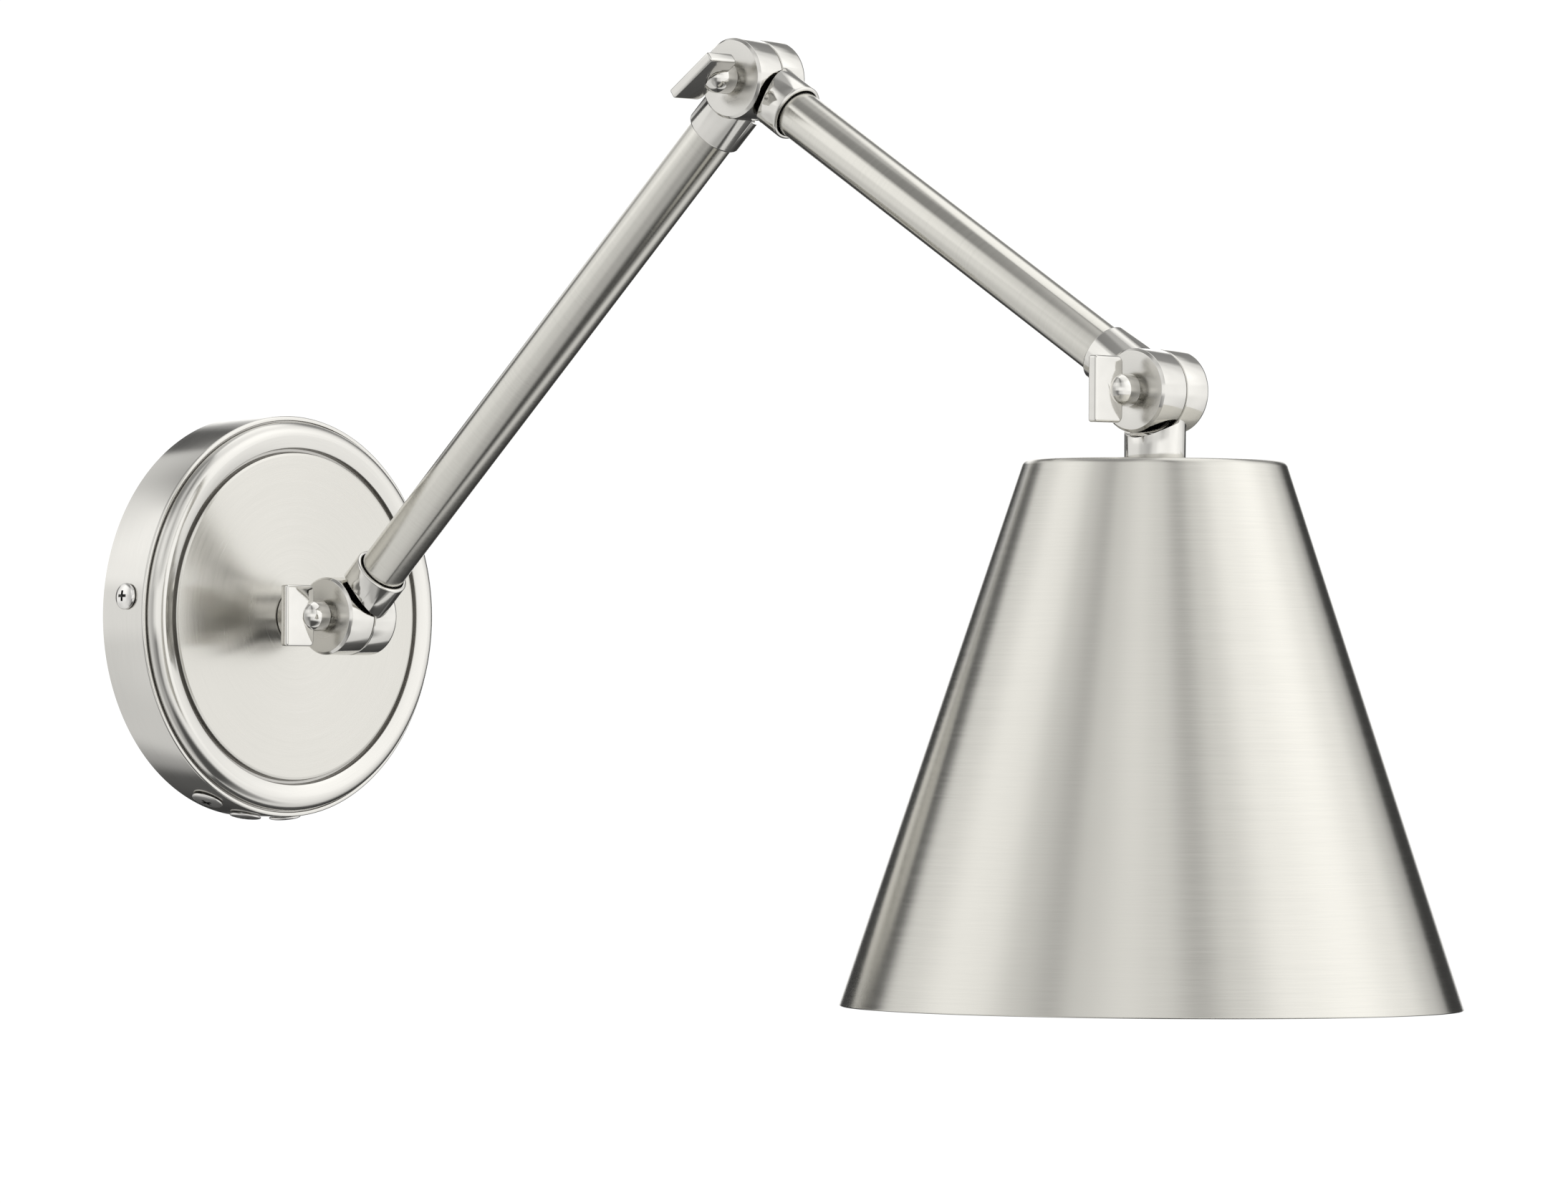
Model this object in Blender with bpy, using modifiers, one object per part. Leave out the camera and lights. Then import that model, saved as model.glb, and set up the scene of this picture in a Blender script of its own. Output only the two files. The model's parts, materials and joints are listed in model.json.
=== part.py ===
"""Swing arm wall sconce in brushed nickel, modelled piece by piece.

Frame: the wall is the plane y = 0 and the lamp reaches out along -Y, with +Z up.
All three swivels turn about the X direction. The thumb keys are on the -X side.
The origin is on the back of the crossbar, at the centre of the canopy.
"""
import math

import bmesh
import bpy
from mathutils import Quaternion, Vector

MM = 0.001
GAP = 0.3 * MM  # clearance kept between pieces that touch on the real lamp

# Canopy, turned about the Y axis. Heights are measured out from the wall.
CANOPY_RADIUS = 63.5 * MM
CANOPY_WALL = 1.2 * MM
CANOPY_SIDE_HEIGHT = 18.2 * MM
CANOPY_FACE_HEIGHT = 21.3 * MM
BEAD_OUTER_RADIUS = 61.7 * MM
BEAD_CROWN_RADIUS = 57.5 * MM
BEAD_CROWN_HEIGHT = 22.2 * MM
GROOVE_RADIUS = 52.6 * MM
GROOVE_WIDTH = 3.3 * MM
GROOVE_DEPTH = 1.3 * MM

# Canopy fasteners
FASTENER_TURN = math.radians(5.0)  # the crossbar sits a little turned in the canopy
SIDE_SCREW_HEIGHT = 10.7 * MM
SIDE_SCREW_HEAD_RADIUS = 4.2 * MM
SIDE_SCREW_DOME = 1.5 * MM
RIM_SCREW_HEIGHT = 9.0 * MM
RIM_SCREW_HEAD_RADIUS = 5.0 * MM
RIM_SCREW_DOME = 0.8 * MM
CANOPY_HOLE_RADIUS = 2.5 * MM
CANOPY_HOLE_SPAN = (51.0 * MM, 76.0 * MM)  # where a hole's cutter starts and ends
RIM_SCREW_ANGLES = [math.radians(a) for a in (-24.5, -9.0, 6.5)]  # from the bottom, + towards +X

# Crossbar
BAR_THICKNESS = 1.6 * MM
BAR_WIDTH = 18.0 * MM
BAR_HALF_LENGTH = 61.0 * MM
BAR_TAB_HEIGHT = 16.0 * MM
BAR_BEND_RADIUS = 2.4 * MM
BOX_SCREW_SPACING = 88.9 * MM  # the screws of a standard wall box
BOX_SLOT_LENGTH = 12.0 * MM
BOX_SLOT_WIDTH = 5.4 * MM
GROUND_SCREW_X = 20.0 * MM
TAB_HOLE_RADIUS = 2.3 * MM
TAB_HOLE_SPAN = (50.0 * MM, 70.0 * MM)
BAR_CUT_REACH = 3.0 * MM

# Swivels: two discs on one hinge axis, each with its own neck
DISC_RADIUS = 12.2 * MM
DISC_HALF_WIDTH = 10.5 * MM
NEAR_EDGE_BEVEL = 0.8 * MM
FAR_EDGE_ROUND = 1.9 * MM
NECK_RADIUS = 8.9 * MM
CHAMBER_INNER_RADIUS = 4.5 * MM  # hollow ring around the screw, where the wires pass
CHAMBER_OUTER_RADIUS = 8.3 * MM
CHAMBER_DEPTH = 6.5 * MM
RING_SEAT_RADIUS = 11.2 * MM
RING_SEAT_DEPTH = 0.9 * MM
SADDLE_RADIUS = 12.6 * MM  # where a neck is cut away around the other half's disc
SADDLE_FLARE = 2.2 * MM
SADDLE_CUT_REACH = 26.0 * MM
KEY_HOLE_RADIUS = 3.3 * MM  # for the thumb key's shank
KEY_HOLE_DEPTH = 8.0 * MM
WIRE_HOLE_RADIUS = 2.0 * MM
WIRE_HOLE_OFFSET = 4.5 * MM

# Arms
TUBE_RADIUS = 7.4 * MM
TUBE_WALL = 1.0 * MM
TUBE_SEAT_START = 15.0 * MM  # distance of a tube's end from the hinge axis
NEAR_CUP_END = 22.4 * MM
FAR_CUP_END = 21.0 * MM
CUP_LIP_RADIUS = 8.15 * MM
CUP_LIP_DEPTH = 1.8 * MM
LOWER_ARM_LENGTH = 237.5 * MM
LOWER_ARM_ELEVATION = math.radians(42.9)
UPPER_ARM_LENGTH = 187.5 * MM
UPPER_ARM_ELEVATION = math.radians(-31.1)
LEAD_RADIUS = 1.6 * MM

# Stub on the canopy, and the threaded ends below a shoulder
LOWER_HINGE_REACH = 44.6 * MM
SHANK_RADIUS = 4.8 * MM
SHANK_HOLE_RADIUS = 5.2 * MM
SHANK_BORE_RADIUS = 2.9 * MM
STUB_SHANK_LENGTH = 13.5 * MM
NECK_SHANK_LENGTH = 11.0 * MM
BORE_INSET = 4.5 * MM  # how far a shank's bore goes past its shoulder
WIRE_HOLE_OVERLAP = 2.5 * MM
NUT_HEIGHT = 4.0 * MM
NUT_FLATS_RADIUS = 7.6 * MM
WASHER_RADIUS = 8.6 * MM
WASHER_THICKNESS = 1.0 * MM

# Thumb keys
KEY_STANDOFF = 1.45 * MM
KEY_BOSS_RADIUS = 4.85 * MM
KEY_BOSS_LENGTH = 4.0 * MM
KEY_NOSE_LENGTH = 5.2 * MM
KEY_SHANK_RADIUS = 3.0 * MM
KEY_PADDLE_START = 5.45 * MM
KEY_PADDLE_LENGTH = 12.0 * MM
KEY_PADDLE_HEIGHT = 19.3 * MM
KEY_PADDLE_THICKNESS = 3.2 * MM
ELBOW_KEY_TURN = math.radians(55.0)

# Shade and lamp holder. Drops are measured down from the head hinge axis.
SHADE_DROP = 20.1 * MM
SHADE_TOP_RADIUS = 38.6 * MM
SHADE_BOTTOM_RADIUS = 90.3 * MM
SHADE_HEIGHT = 158.4 * MM
SHADE_WALL = 0.8 * MM
SHADE_CORNER = 2.4 * MM
CAP_RADIUS = 20.0 * MM
CAP_HEIGHT = 18.0 * MM
CAP_WALL = 1.0 * MM
SOCKET_RADIUS = 19.4 * MM
SOCKET_BOTTOM_DROP = 79.0 * MM
SOCKET_FLOOR_DROP = 50.0 * MM
SOCKET_BORE_RADIUS = 15.2 * MM
PLUG_HEIGHT = 4.5 * MM  # the part of the holder inside its cap
SHELL_RADIUS = 14.2 * MM
SHELL_WALL = 0.6 * MM
SHELL_THREAD = 0.7 * MM
SHELL_PITCH = 3.6 * MM
SHELL_CORNER = 1.5 * MM
SHELL_CONTACT_SPACE = 2.5 * MM
CONTACT_RADIUS = 4.0 * MM

NICKEL = ((0.66, 0.64, 0.60), 1.0, 0.30)
BRIGHT_NICKEL = ((0.70, 0.68, 0.64), 1.0, 0.18)
ZINC_STEEL = ((0.62, 0.63, 0.64), 1.0, 0.38)
GREEN_STEEL = ((0.06, 0.30, 0.12), 0.6, 0.40)
BRASS = ((0.72, 0.55, 0.25), 1.0, 0.30)
PORCELAIN = ((0.86, 0.84, 0.80), 0.0, 0.25)
FIBRE = ((0.20, 0.12, 0.08), 0.0, 0.70)
LEAD_PLASTIC = ((0.05, 0.05, 0.05), 0.0, 0.50)

FINE_SEGMENTS = 40
SEGMENTS = 24
COARSE_SEGMENTS = 16
SCREW_SEGMENTS = 12
NECK_ROLL = math.radians(4.0)
HOLE_ROLL = math.radians(7.0)

OUT = Vector((0.0, -1.0, 0.0))
INTO_WALL = Vector((0.0, 1.0, 0.0))
DOWN = Vector((0.0, 0.0, -1.0))
NEAR = Vector((-1.0, 0.0, 0.0))
FAR = Vector((1.0, 0.0, 0.0))


def arm_direction(elevation):
    """Unit vector of an arm that leaves the wall at this angle above the horizontal."""
    return Vector((0.0, -math.cos(elevation), math.sin(elevation)))


LOWER_DIRECTION = arm_direction(LOWER_ARM_ELEVATION)
UPPER_DIRECTION = arm_direction(UPPER_ARM_ELEVATION)
LOWER_HINGE = OUT * LOWER_HINGE_REACH
ELBOW_HINGE = LOWER_HINGE + LOWER_DIRECTION * LOWER_ARM_LENGTH
HEAD_HINGE = ELBOW_HINGE + UPPER_DIRECTION * UPPER_ARM_LENGTH


# ---------------------------------------------------------------- helpers

def clear_scene():
    for old in list(bpy.data.objects):
        bpy.data.objects.remove(old, do_unlink=True)


def new_collection(name):
    collection = bpy.data.collections.new(name)
    bpy.context.scene.collection.children.link(collection)
    return collection


clear_scene()
PARTS = new_collection("swing_arm_wall_sconce")
CUTTERS = new_collection("cutters")


def finish(obj, look, parent=None):
    """Make obj a visible part with its own material, moving with parent."""
    colour, metallic, roughness = look
    material = bpy.data.materials.new(obj.name)
    material.use_nodes = True
    shader = material.node_tree.nodes["Principled BSDF"]
    shader.inputs["Base Color"].default_value = (*colour, 1.0)
    shader.inputs["Metallic"].default_value = metallic
    shader.inputs["Roughness"].default_value = roughness
    obj.data.materials.append(material)
    PARTS.objects.link(obj)
    if parent:
        obj.parent = parent
        obj.location -= parent_place(parent)
    return obj


def parent_place(empty):
    """World place of an empty in a chain of unrotated empties."""
    place = empty.location.copy()
    while empty.parent:
        empty = empty.parent
        place += empty.location
    return place


def hinge_empty(name, place, parent=None):
    empty = bpy.data.objects.new(name, None)
    empty.empty_display_size = 0.02
    empty.location = place
    if parent:
        empty.parent = parent
        empty.location -= parent_place(parent)
    PARTS.objects.link(empty)
    return empty


def as_cutter(obj):
    """Hide a shape that only cuts or joins other shapes."""
    obj.hide_render = True
    obj.display_type = "WIRE"
    CUTTERS.objects.link(obj)
    return obj


def aim(obj, place, direction, roll=0.0):
    """Put obj's local origin at place with its local Z along direction."""
    obj.location = place
    obj.rotation_mode = "QUATERNION"
    turn = direction.to_track_quat("Z", "Y")
    obj.rotation_quaternion = turn @ Quaternion((0.0, 0.0, 1.0), roll)
    return obj


def mesh_object(name, bm):
    mesh = bpy.data.meshes.new(name)
    bm.to_mesh(mesh)
    bm.free()
    return bpy.data.objects.new(name, mesh)


def shade_smooth(obj, angle=32.0):
    obj.data.shade_smooth()
    obj.data.set_sharp_from_angle(angle=math.radians(angle))


def arc(centre, radii, start, end, steps):
    """Points on an elliptical arc of a profile, start and end in degrees from +X to +Z."""
    points = []
    for i in range(steps + 1):
        angle = math.radians(start + (end - start) * i / steps)
        points.append((centre[0] + radii[0] * math.cos(angle), centre[1] + radii[1] * math.sin(angle)))
    return points


def turned(name, profile, place, direction, segments=SEGMENTS, ring=False, roll=0.0):
    """Turn a profile of (radius, height) points, outer side downwards, about direction.

    A ring's profile is a closed outline. Any other profile starts and ends on the axis.
    A roll keeps the facets of crossing shapes from lying on each other.
    """
    bm = bmesh.new()
    verts = [bm.verts.new((radius, 0.0, height)) for radius, height in profile]
    for first, second in zip(verts, verts[1:]):
        bm.edges.new((first, second))
    if ring:
        bm.edges.new((verts[-1], verts[0]))
    obj = mesh_object(name, bm)
    screw = obj.modifiers.new("turn", "SCREW")
    screw.axis = "Z"
    screw.angle = math.tau
    screw.steps = segments
    screw.render_steps = segments
    screw.use_merge_vertices = True
    screw.merge_threshold = 0.00001
    screw.use_smooth_shade = False
    return aim(obj, place, direction, roll)


def cylinder_cutter(name, radius, place, direction, start, end, segments=COARSE_SEGMENTS):
    """A round cutter along direction, between two distances from place."""
    profile = [(0.0, end), (radius, end), (radius, start), (0.0, start)]
    return as_cutter(turned(name, profile, place, direction, segments, roll=HOLE_ROLL))


def combine(obj, other, operation, solver="EXACT"):
    boolean = obj.modifiers.new(operation.lower(), "BOOLEAN")
    boolean.operation = operation
    boolean.solver = solver
    boolean.object = other


def cut(obj, other, solver="EXACT"):
    combine(obj, other, "DIFFERENCE", solver)


def join(obj, other):
    combine(obj, other, "UNION")


def box(name, size, place, bevel=0.0, bevel_segments=2):
    """A box centred on place, with its edges bevelled."""
    bm = bmesh.new()
    bmesh.ops.create_cube(bm, size=1.0)
    bmesh.ops.scale(bm, vec=size, verts=bm.verts)
    obj = mesh_object(name, bm)
    obj.location = place
    if bevel:
        modifier = obj.modifiers.new("edges", "BEVEL")
        modifier.width = bevel
        modifier.segments = bevel_segments
    return obj


# ---------------------------------------------------------------- canopy

def canopy_direction(angle_from_bottom):
    """Outward direction at an angle from the bottom of the canopy, + towards +X."""
    return Vector((math.sin(angle_from_bottom), 0.0, -math.cos(angle_from_bottom)))


def side_direction(side):
    """Outward direction of a side screw; side is -1 for the near one and 1 for the far one."""
    return Vector((side * math.cos(FASTENER_TURN), 0.0, -side * math.sin(FASTENER_TURN)))


def canopy_profile():
    """Closed outline: the outer skin from the centre hole to the wall, then the inner skin."""
    half_groove = GROOVE_WIDTH / 2
    groove_bottom = CANOPY_FACE_HEIGHT - GROOVE_DEPTH
    bead_radii = (BEAD_OUTER_RADIUS - BEAD_CROWN_RADIUS, BEAD_CROWN_HEIGHT - CANOPY_SIDE_HEIGHT)
    bead_inner = (GROOVE_RADIUS + half_groove, CANOPY_FACE_HEIGHT)
    corner = 0.8 * MM
    outer = [(SHANK_HOLE_RADIUS, CANOPY_FACE_HEIGHT)]
    outer += [(GROOVE_RADIUS - half_groove, CANOPY_FACE_HEIGHT)]
    outer += [(GROOVE_RADIUS, groove_bottom), bead_inner]
    outer += [(0.5 * (bead_inner[0] + BEAD_CROWN_RADIUS), BEAD_CROWN_HEIGHT - 0.25 * MM)]
    outer += arc((BEAD_CROWN_RADIUS, CANOPY_SIDE_HEIGHT), bead_radii, 90, 0, 4)
    outer += arc((CANOPY_RADIUS - corner, CANOPY_SIDE_HEIGHT - corner), (corner, corner), 90, 0, 2)
    outer += [(CANOPY_RADIUS, 0.0)]
    inner_radius = CANOPY_RADIUS - CANOPY_WALL
    inner_face = CANOPY_FACE_HEIGHT - CANOPY_WALL
    inner = [(inner_radius, 0.0), (inner_radius, CANOPY_SIDE_HEIGHT - CANOPY_WALL)]
    inner += [(BEAD_OUTER_RADIUS - CANOPY_WALL, CANOPY_SIDE_HEIGHT - CANOPY_WALL)]
    inner += [(BEAD_CROWN_RADIUS, BEAD_CROWN_HEIGHT - CANOPY_WALL)]
    inner += [(GROOVE_RADIUS, groove_bottom - CANOPY_WALL)]
    inner += [(GROOVE_RADIUS - 2 * half_groove, inner_face), (SHANK_HOLE_RADIUS, inner_face)]
    return outer + inner


def make_canopy():
    canopy = turned("canopy", canopy_profile(), Vector(), OUT, FINE_SEGMENTS, ring=True)
    side_place = OUT * SIDE_SCREW_HEIGHT
    for name, side in (("left", -1), ("right", 1)):
        hole = cylinder_cutter(
            f"side_hole_{name}", CANOPY_HOLE_RADIUS, side_place, side_direction(side), *CANOPY_HOLE_SPAN
        )
        cut(canopy, hole)
    for i, angle in enumerate(RIM_SCREW_ANGLES):
        place = OUT * RIM_SCREW_HEIGHT
        hole = cylinder_cutter(
            f"rim_hole_{i}", CANOPY_HOLE_RADIUS, place, canopy_direction(angle), *CANOPY_HOLE_SPAN
        )
        cut(canopy, hole)
    finish(canopy, NICKEL)


def cross_recess(name, place, direction, size, depth):
    """The two crossed slots of a screw head, as one cutter."""
    first = box(f"{name}_slot_a", (size, 0.22 * size, 2 * depth), place)
    second = box(f"{name}_slot_b", (0.22 * size, size, 2 * depth), place)
    for slot in (first, second):
        aim(slot, place, direction)
        as_cutter(slot)
    join(first, second)
    return first


def make_screw(name, place, direction, head, shank, look):
    """A round headed screw: place is the middle of the seat, direction points out of the head.

    head is (radius, dome height) and shank is (radius, length).
    """
    head_radius, dome = head
    shank_radius, length = shank
    rim = 0.4 * MM
    profile = [(0.0, rim + dome)]
    profile += arc((0.0, rim), (head_radius, dome), 60, 0, 2)
    profile += [(head_radius, 0.0), (shank_radius, 0.0), (shank_radius, -length), (0.0, -length)]
    screw = turned(name, profile, place, direction, SCREW_SEGMENTS)
    recess_depth = 0.75 * dome
    recess_place = place + direction * (rim + dome)
    cut(screw, cross_recess(name, recess_place, direction, 0.95 * head_radius, recess_depth))
    return finish(screw, look)


def make_canopy_screws():
    seat = CANOPY_RADIUS + GAP
    for name, side in (("side_screw_left", -1), ("side_screw_right", 1)):
        direction = side_direction(side)
        place = OUT * SIDE_SCREW_HEIGHT + direction * seat
        head = (SIDE_SCREW_HEAD_RADIUS, SIDE_SCREW_DOME)
        make_screw(name, place, direction, head, (2.0 * MM, 9.0 * MM), BRIGHT_NICKEL)
    for name, angle in zip(("left", "middle", "right"), RIM_SCREW_ANGLES):
        direction = canopy_direction(angle)
        place = OUT * RIM_SCREW_HEIGHT + direction * seat
        head = (RIM_SCREW_HEAD_RADIUS, RIM_SCREW_DOME)
        make_screw(f"rim_screw_{name}", place, direction, head, (2.0 * MM, 6.0 * MM), BRIGHT_NICKEL)


def slot_cutter(name, centre_x):
    """A straight slot through the crossbar, with round ends."""
    straight = BOX_SLOT_LENGTH - BOX_SLOT_WIDTH
    reach = BAR_CUT_REACH
    size = (straight, 2 * reach, BOX_SLOT_WIDTH)
    middle = as_cutter(box(name, size, Vector((centre_x, 0.0, 0.0))))
    for i, side in enumerate((-1, 1)):
        place = Vector((centre_x + side * straight / 2, 0.0, 0.0))
        end = cylinder_cutter(f"{name}_end_{i}", BOX_SLOT_WIDTH / 2, place, OUT, -reach, reach, 12)
        join(middle, end)
    return middle


def make_crossbar():
    """A strap bent forwards at both ends, with a tab for each side screw."""
    bend = BAR_BEND_RADIUS
    inner_x = BAR_HALF_LENGTH - bend
    outline = [(-BAR_HALF_LENGTH, -BAR_TAB_HEIGHT)]
    outline += arc((-inner_x, -bend), (bend, bend), 180, 90, 3)
    outline += arc((inner_x, -bend), (bend, bend), 90, 0, 3)
    outline += [(BAR_HALF_LENGTH, -BAR_TAB_HEIGHT)]
    bm = bmesh.new()
    half = BAR_WIDTH / 2
    rows = []
    for z in (-half, half):
        rows.append([bm.verts.new((x, y, z)) for x, y in outline])
    for i in range(len(outline) - 1):
        bm.faces.new((rows[0][i], rows[0][i + 1], rows[1][i + 1], rows[1][i]))
    bar = mesh_object("crossbar", bm)
    thicken = bar.modifiers.new("sheet", "SOLIDIFY")
    thicken.thickness = BAR_THICKNESS
    thicken.offset = 1.0
    thicken.use_even_offset = True
    turn = Quaternion((0.0, 1.0, 0.0), FASTENER_TURN)
    bar.rotation_mode = "QUATERNION"
    bar.rotation_quaternion = turn
    for name, side in (("left", -1), ("right", 1)):
        slot = slot_cutter(f"box_slot_{name}", side * BOX_SCREW_SPACING / 2)
        turn_about_origin(slot, turn)
        cut(bar, slot)
        place = OUT * SIDE_SCREW_HEIGHT
        hole = cylinder_cutter(
            f"tab_hole_{name}", TAB_HOLE_RADIUS, place, side_direction(side), *TAB_HOLE_SPAN, 12
        )
        cut(bar, hole)
    ground_place = turn @ Vector((GROUND_SCREW_X, 0.0, 0.0))
    reach = BAR_CUT_REACH
    cut(bar, cylinder_cutter("ground_hole", TAB_HOLE_RADIUS, ground_place, OUT, -reach, reach, 12))
    finish(bar, ZINC_STEEL)
    seat = ground_place + OUT * (BAR_THICKNESS + GAP)
    make_screw("ground_screw", seat, OUT, (3.8 * MM, 1.6 * MM), (2.0 * MM, 1.7 * MM), GREEN_STEEL)


def turn_about_origin(obj, turn):
    """Turn a cutter and the shapes joined to it about the canopy's centre."""
    pieces = [obj] + [m.object for m in obj.modifiers if m.type == "BOOLEAN"]
    for piece in pieces:
        base = piece.rotation_quaternion.copy()
        piece.rotation_mode = "QUATERNION"
        piece.rotation_quaternion = turn @ base
        piece.location = turn @ piece.location


def make_nut_and_washer(prefix, seat, direction, parent):
    """A washer and a hex nut on a threaded shank; direction points away from the seat."""
    washer_start = GAP
    washer_end = washer_start + WASHER_THICKNESS
    washer_profile = [(SHANK_HOLE_RADIUS, washer_end), (WASHER_RADIUS, washer_end)]
    washer_profile += [(WASHER_RADIUS, washer_start), (SHANK_HOLE_RADIUS, washer_start)]
    washer = turned(f"{prefix}_washer", washer_profile, seat, direction, COARSE_SEGMENTS, ring=True)
    finish(washer, ZINC_STEEL, parent)
    nut_start = washer_end + GAP
    bm = bmesh.new()
    corner_radius = NUT_FLATS_RADIUS / math.cos(math.pi / 6)
    bmesh.ops.create_cone(
        bm, cap_ends=True, segments=6, radius1=corner_radius, radius2=corner_radius, depth=NUT_HEIGHT
    )
    nut = mesh_object(f"{prefix}_nut", bm)
    aim(nut, seat + direction * (nut_start + NUT_HEIGHT / 2), direction)
    hole = cylinder_cutter(
        f"{prefix}_nut_hole", SHANK_HOLE_RADIUS, seat, direction, 0.0, nut_start + 2 * NUT_HEIGHT
    )
    cut(nut, hole)
    finish(nut, BRASS, parent)


# ---------------------------------------------------------------- swivels

def disc_blank(name, hinge, side, near):
    """Solid disc of one swivel half, from the split plane outwards."""
    face = DISC_HALF_WIDTH
    if near:
        edge = [(DISC_RADIUS - NEAR_EDGE_BEVEL, face), (DISC_RADIUS, face - NEAR_EDGE_BEVEL)]
    else:
        centre = (DISC_RADIUS - FAR_EDGE_ROUND, face - FAR_EDGE_ROUND)
        edge = arc(centre, (FAR_EDGE_ROUND, FAR_EDGE_ROUND), 90, 0, 3)
    profile = [(0.0, face)] + edge + [(DISC_RADIUS, -GAP), (0.0, -GAP)]
    return turned(name, profile, hinge, side, SEGMENTS)


def split_cutter(name, hinge, side, near):
    """Everything that is hollow on the split side of one half, as one turned cutter.

    It holds the screw hole, the wire chamber, the friction ring's seat, the split plane
    and the saddle that clears the other half's disc.
    """
    split = GAP / 2
    hole_top = 2 * DISC_HALF_WIDTH if near else KEY_HOLE_DEPTH
    profile = [(0.0, hole_top), (KEY_HOLE_RADIUS, hole_top), (KEY_HOLE_RADIUS, split)]
    profile += [(CHAMBER_INNER_RADIUS, split), (CHAMBER_INNER_RADIUS, CHAMBER_DEPTH)]
    profile += [(CHAMBER_OUTER_RADIUS, CHAMBER_DEPTH), (CHAMBER_OUTER_RADIUS, RING_SEAT_DEPTH)]
    profile += [(RING_SEAT_RADIUS, RING_SEAT_DEPTH), (RING_SEAT_RADIUS, split)]
    flare_end = split - DISC_HALF_WIDTH
    profile += arc((SADDLE_RADIUS, flare_end), (SADDLE_FLARE, DISC_HALF_WIDTH), 90, 0, 4)
    profile += [(SADDLE_RADIUS + SADDLE_FLARE, -SADDLE_CUT_REACH), (0.0, -SADDLE_CUT_REACH)]
    return as_cutter(turned(name, profile, hinge, side, SEGMENTS))


def cup_blank(name, hinge, direction, end):
    """Neck and cup that a tube is pressed into."""
    chamfer = 0.5 * MM
    profile = [(0.0, end), (NECK_RADIUS - chamfer, end), (NECK_RADIUS, end - chamfer)]
    profile += [(NECK_RADIUS, 0.0), (0.0, 0.0)]
    return as_cutter(turned(name, profile, hinge, direction, SEGMENTS, roll=NECK_ROLL))


def shank_blank(name, hinge, direction, shoulder, length):
    """Neck that ends in a shoulder and a threaded shank."""
    end = shoulder + length
    profile = [(0.0, end), (SHANK_RADIUS, end), (SHANK_RADIUS, shoulder), (NECK_RADIUS, shoulder)]
    profile += [(NECK_RADIUS, 0.0), (0.0, 0.0)]
    return as_cutter(turned(name, profile, hinge, direction, SEGMENTS, roll=NECK_ROLL))


def cut_tube_seat(half, name, hinge, direction, end, near):
    """Bore of a cup; the far halves have a wider, open lip."""
    bore = TUBE_RADIUS + GAP
    start = TUBE_SEAT_START - GAP
    if near:
        profile = [(0.0, end + MM), (bore, end + MM), (bore, start), (0.0, start)]
    else:
        lip = end - CUP_LIP_DEPTH
        profile = [(0.0, end + MM), (CUP_LIP_RADIUS, end + MM), (CUP_LIP_RADIUS, lip)]
        profile += [(bore, lip - 0.4 * MM), (bore, start), (0.0, start)]
    cut(half, as_cutter(turned(f"{name}_seat", profile, hinge, direction, SEGMENTS, roll=NECK_ROLL)))


def cut_wire_hole(half, name, hinge, side, direction, end):
    """Passage from the wire chamber into the neck, beside the split plane."""
    place = hinge + side * WIRE_HOLE_OFFSET
    hole = cylinder_cutter(
        f"{name}_wire_hole", WIRE_HOLE_RADIUS, place, direction, 0.8 * CHAMBER_OUTER_RADIUS, end, 10
    )
    cut(half, hole, "MANIFOLD")


def make_cup_half(name, hinge, side, direction, parent):
    """Swivel half that carries a tube."""
    near = side.x < 0
    end = NEAR_CUP_END if near else FAR_CUP_END
    half = disc_blank(name, hinge, side, near)
    join(half, cup_blank(f"{name}_blank", hinge, direction, end))
    cut(half, split_cutter(f"{name}_split", hinge, side, near))
    cut_tube_seat(half, name, hinge, direction, end, near)
    cut_wire_hole(half, name, hinge, side, direction, TUBE_SEAT_START)
    finish(half, BRIGHT_NICKEL, parent)


def make_shank_half(name, hinge, side, direction, shoulder, length, parent):
    """Swivel half that ends in a shoulder and a hollow threaded shank."""
    near = side.x < 0
    half = disc_blank(name, hinge, side, near)
    join(half, shank_blank(f"{name}_blank", hinge, direction, shoulder, length))
    cut(half, split_cutter(f"{name}_split", hinge, side, near))
    bore_start = shoulder - BORE_INSET
    cut(half, cylinder_cutter(
        f"{name}_bore", SHANK_BORE_RADIUS, hinge, direction, bore_start, shoulder + length + MM, 12
    ))
    cut_wire_hole(half, name, hinge, side, direction, bore_start + WIRE_HOLE_OVERLAP)
    finish(half, BRIGHT_NICKEL, parent)


def make_friction_ring(name, hinge, parent):
    half = RING_SEAT_DEPTH - GAP
    inner = CHAMBER_OUTER_RADIUS + GAP
    outer = RING_SEAT_RADIUS - GAP
    profile = [(inner, half), (outer, half), (outer, -half), (inner, -half)]
    ring = turned(name, profile, hinge, NEAR, SEGMENTS, ring=True)
    finish(ring, FIBRE, parent)


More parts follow.
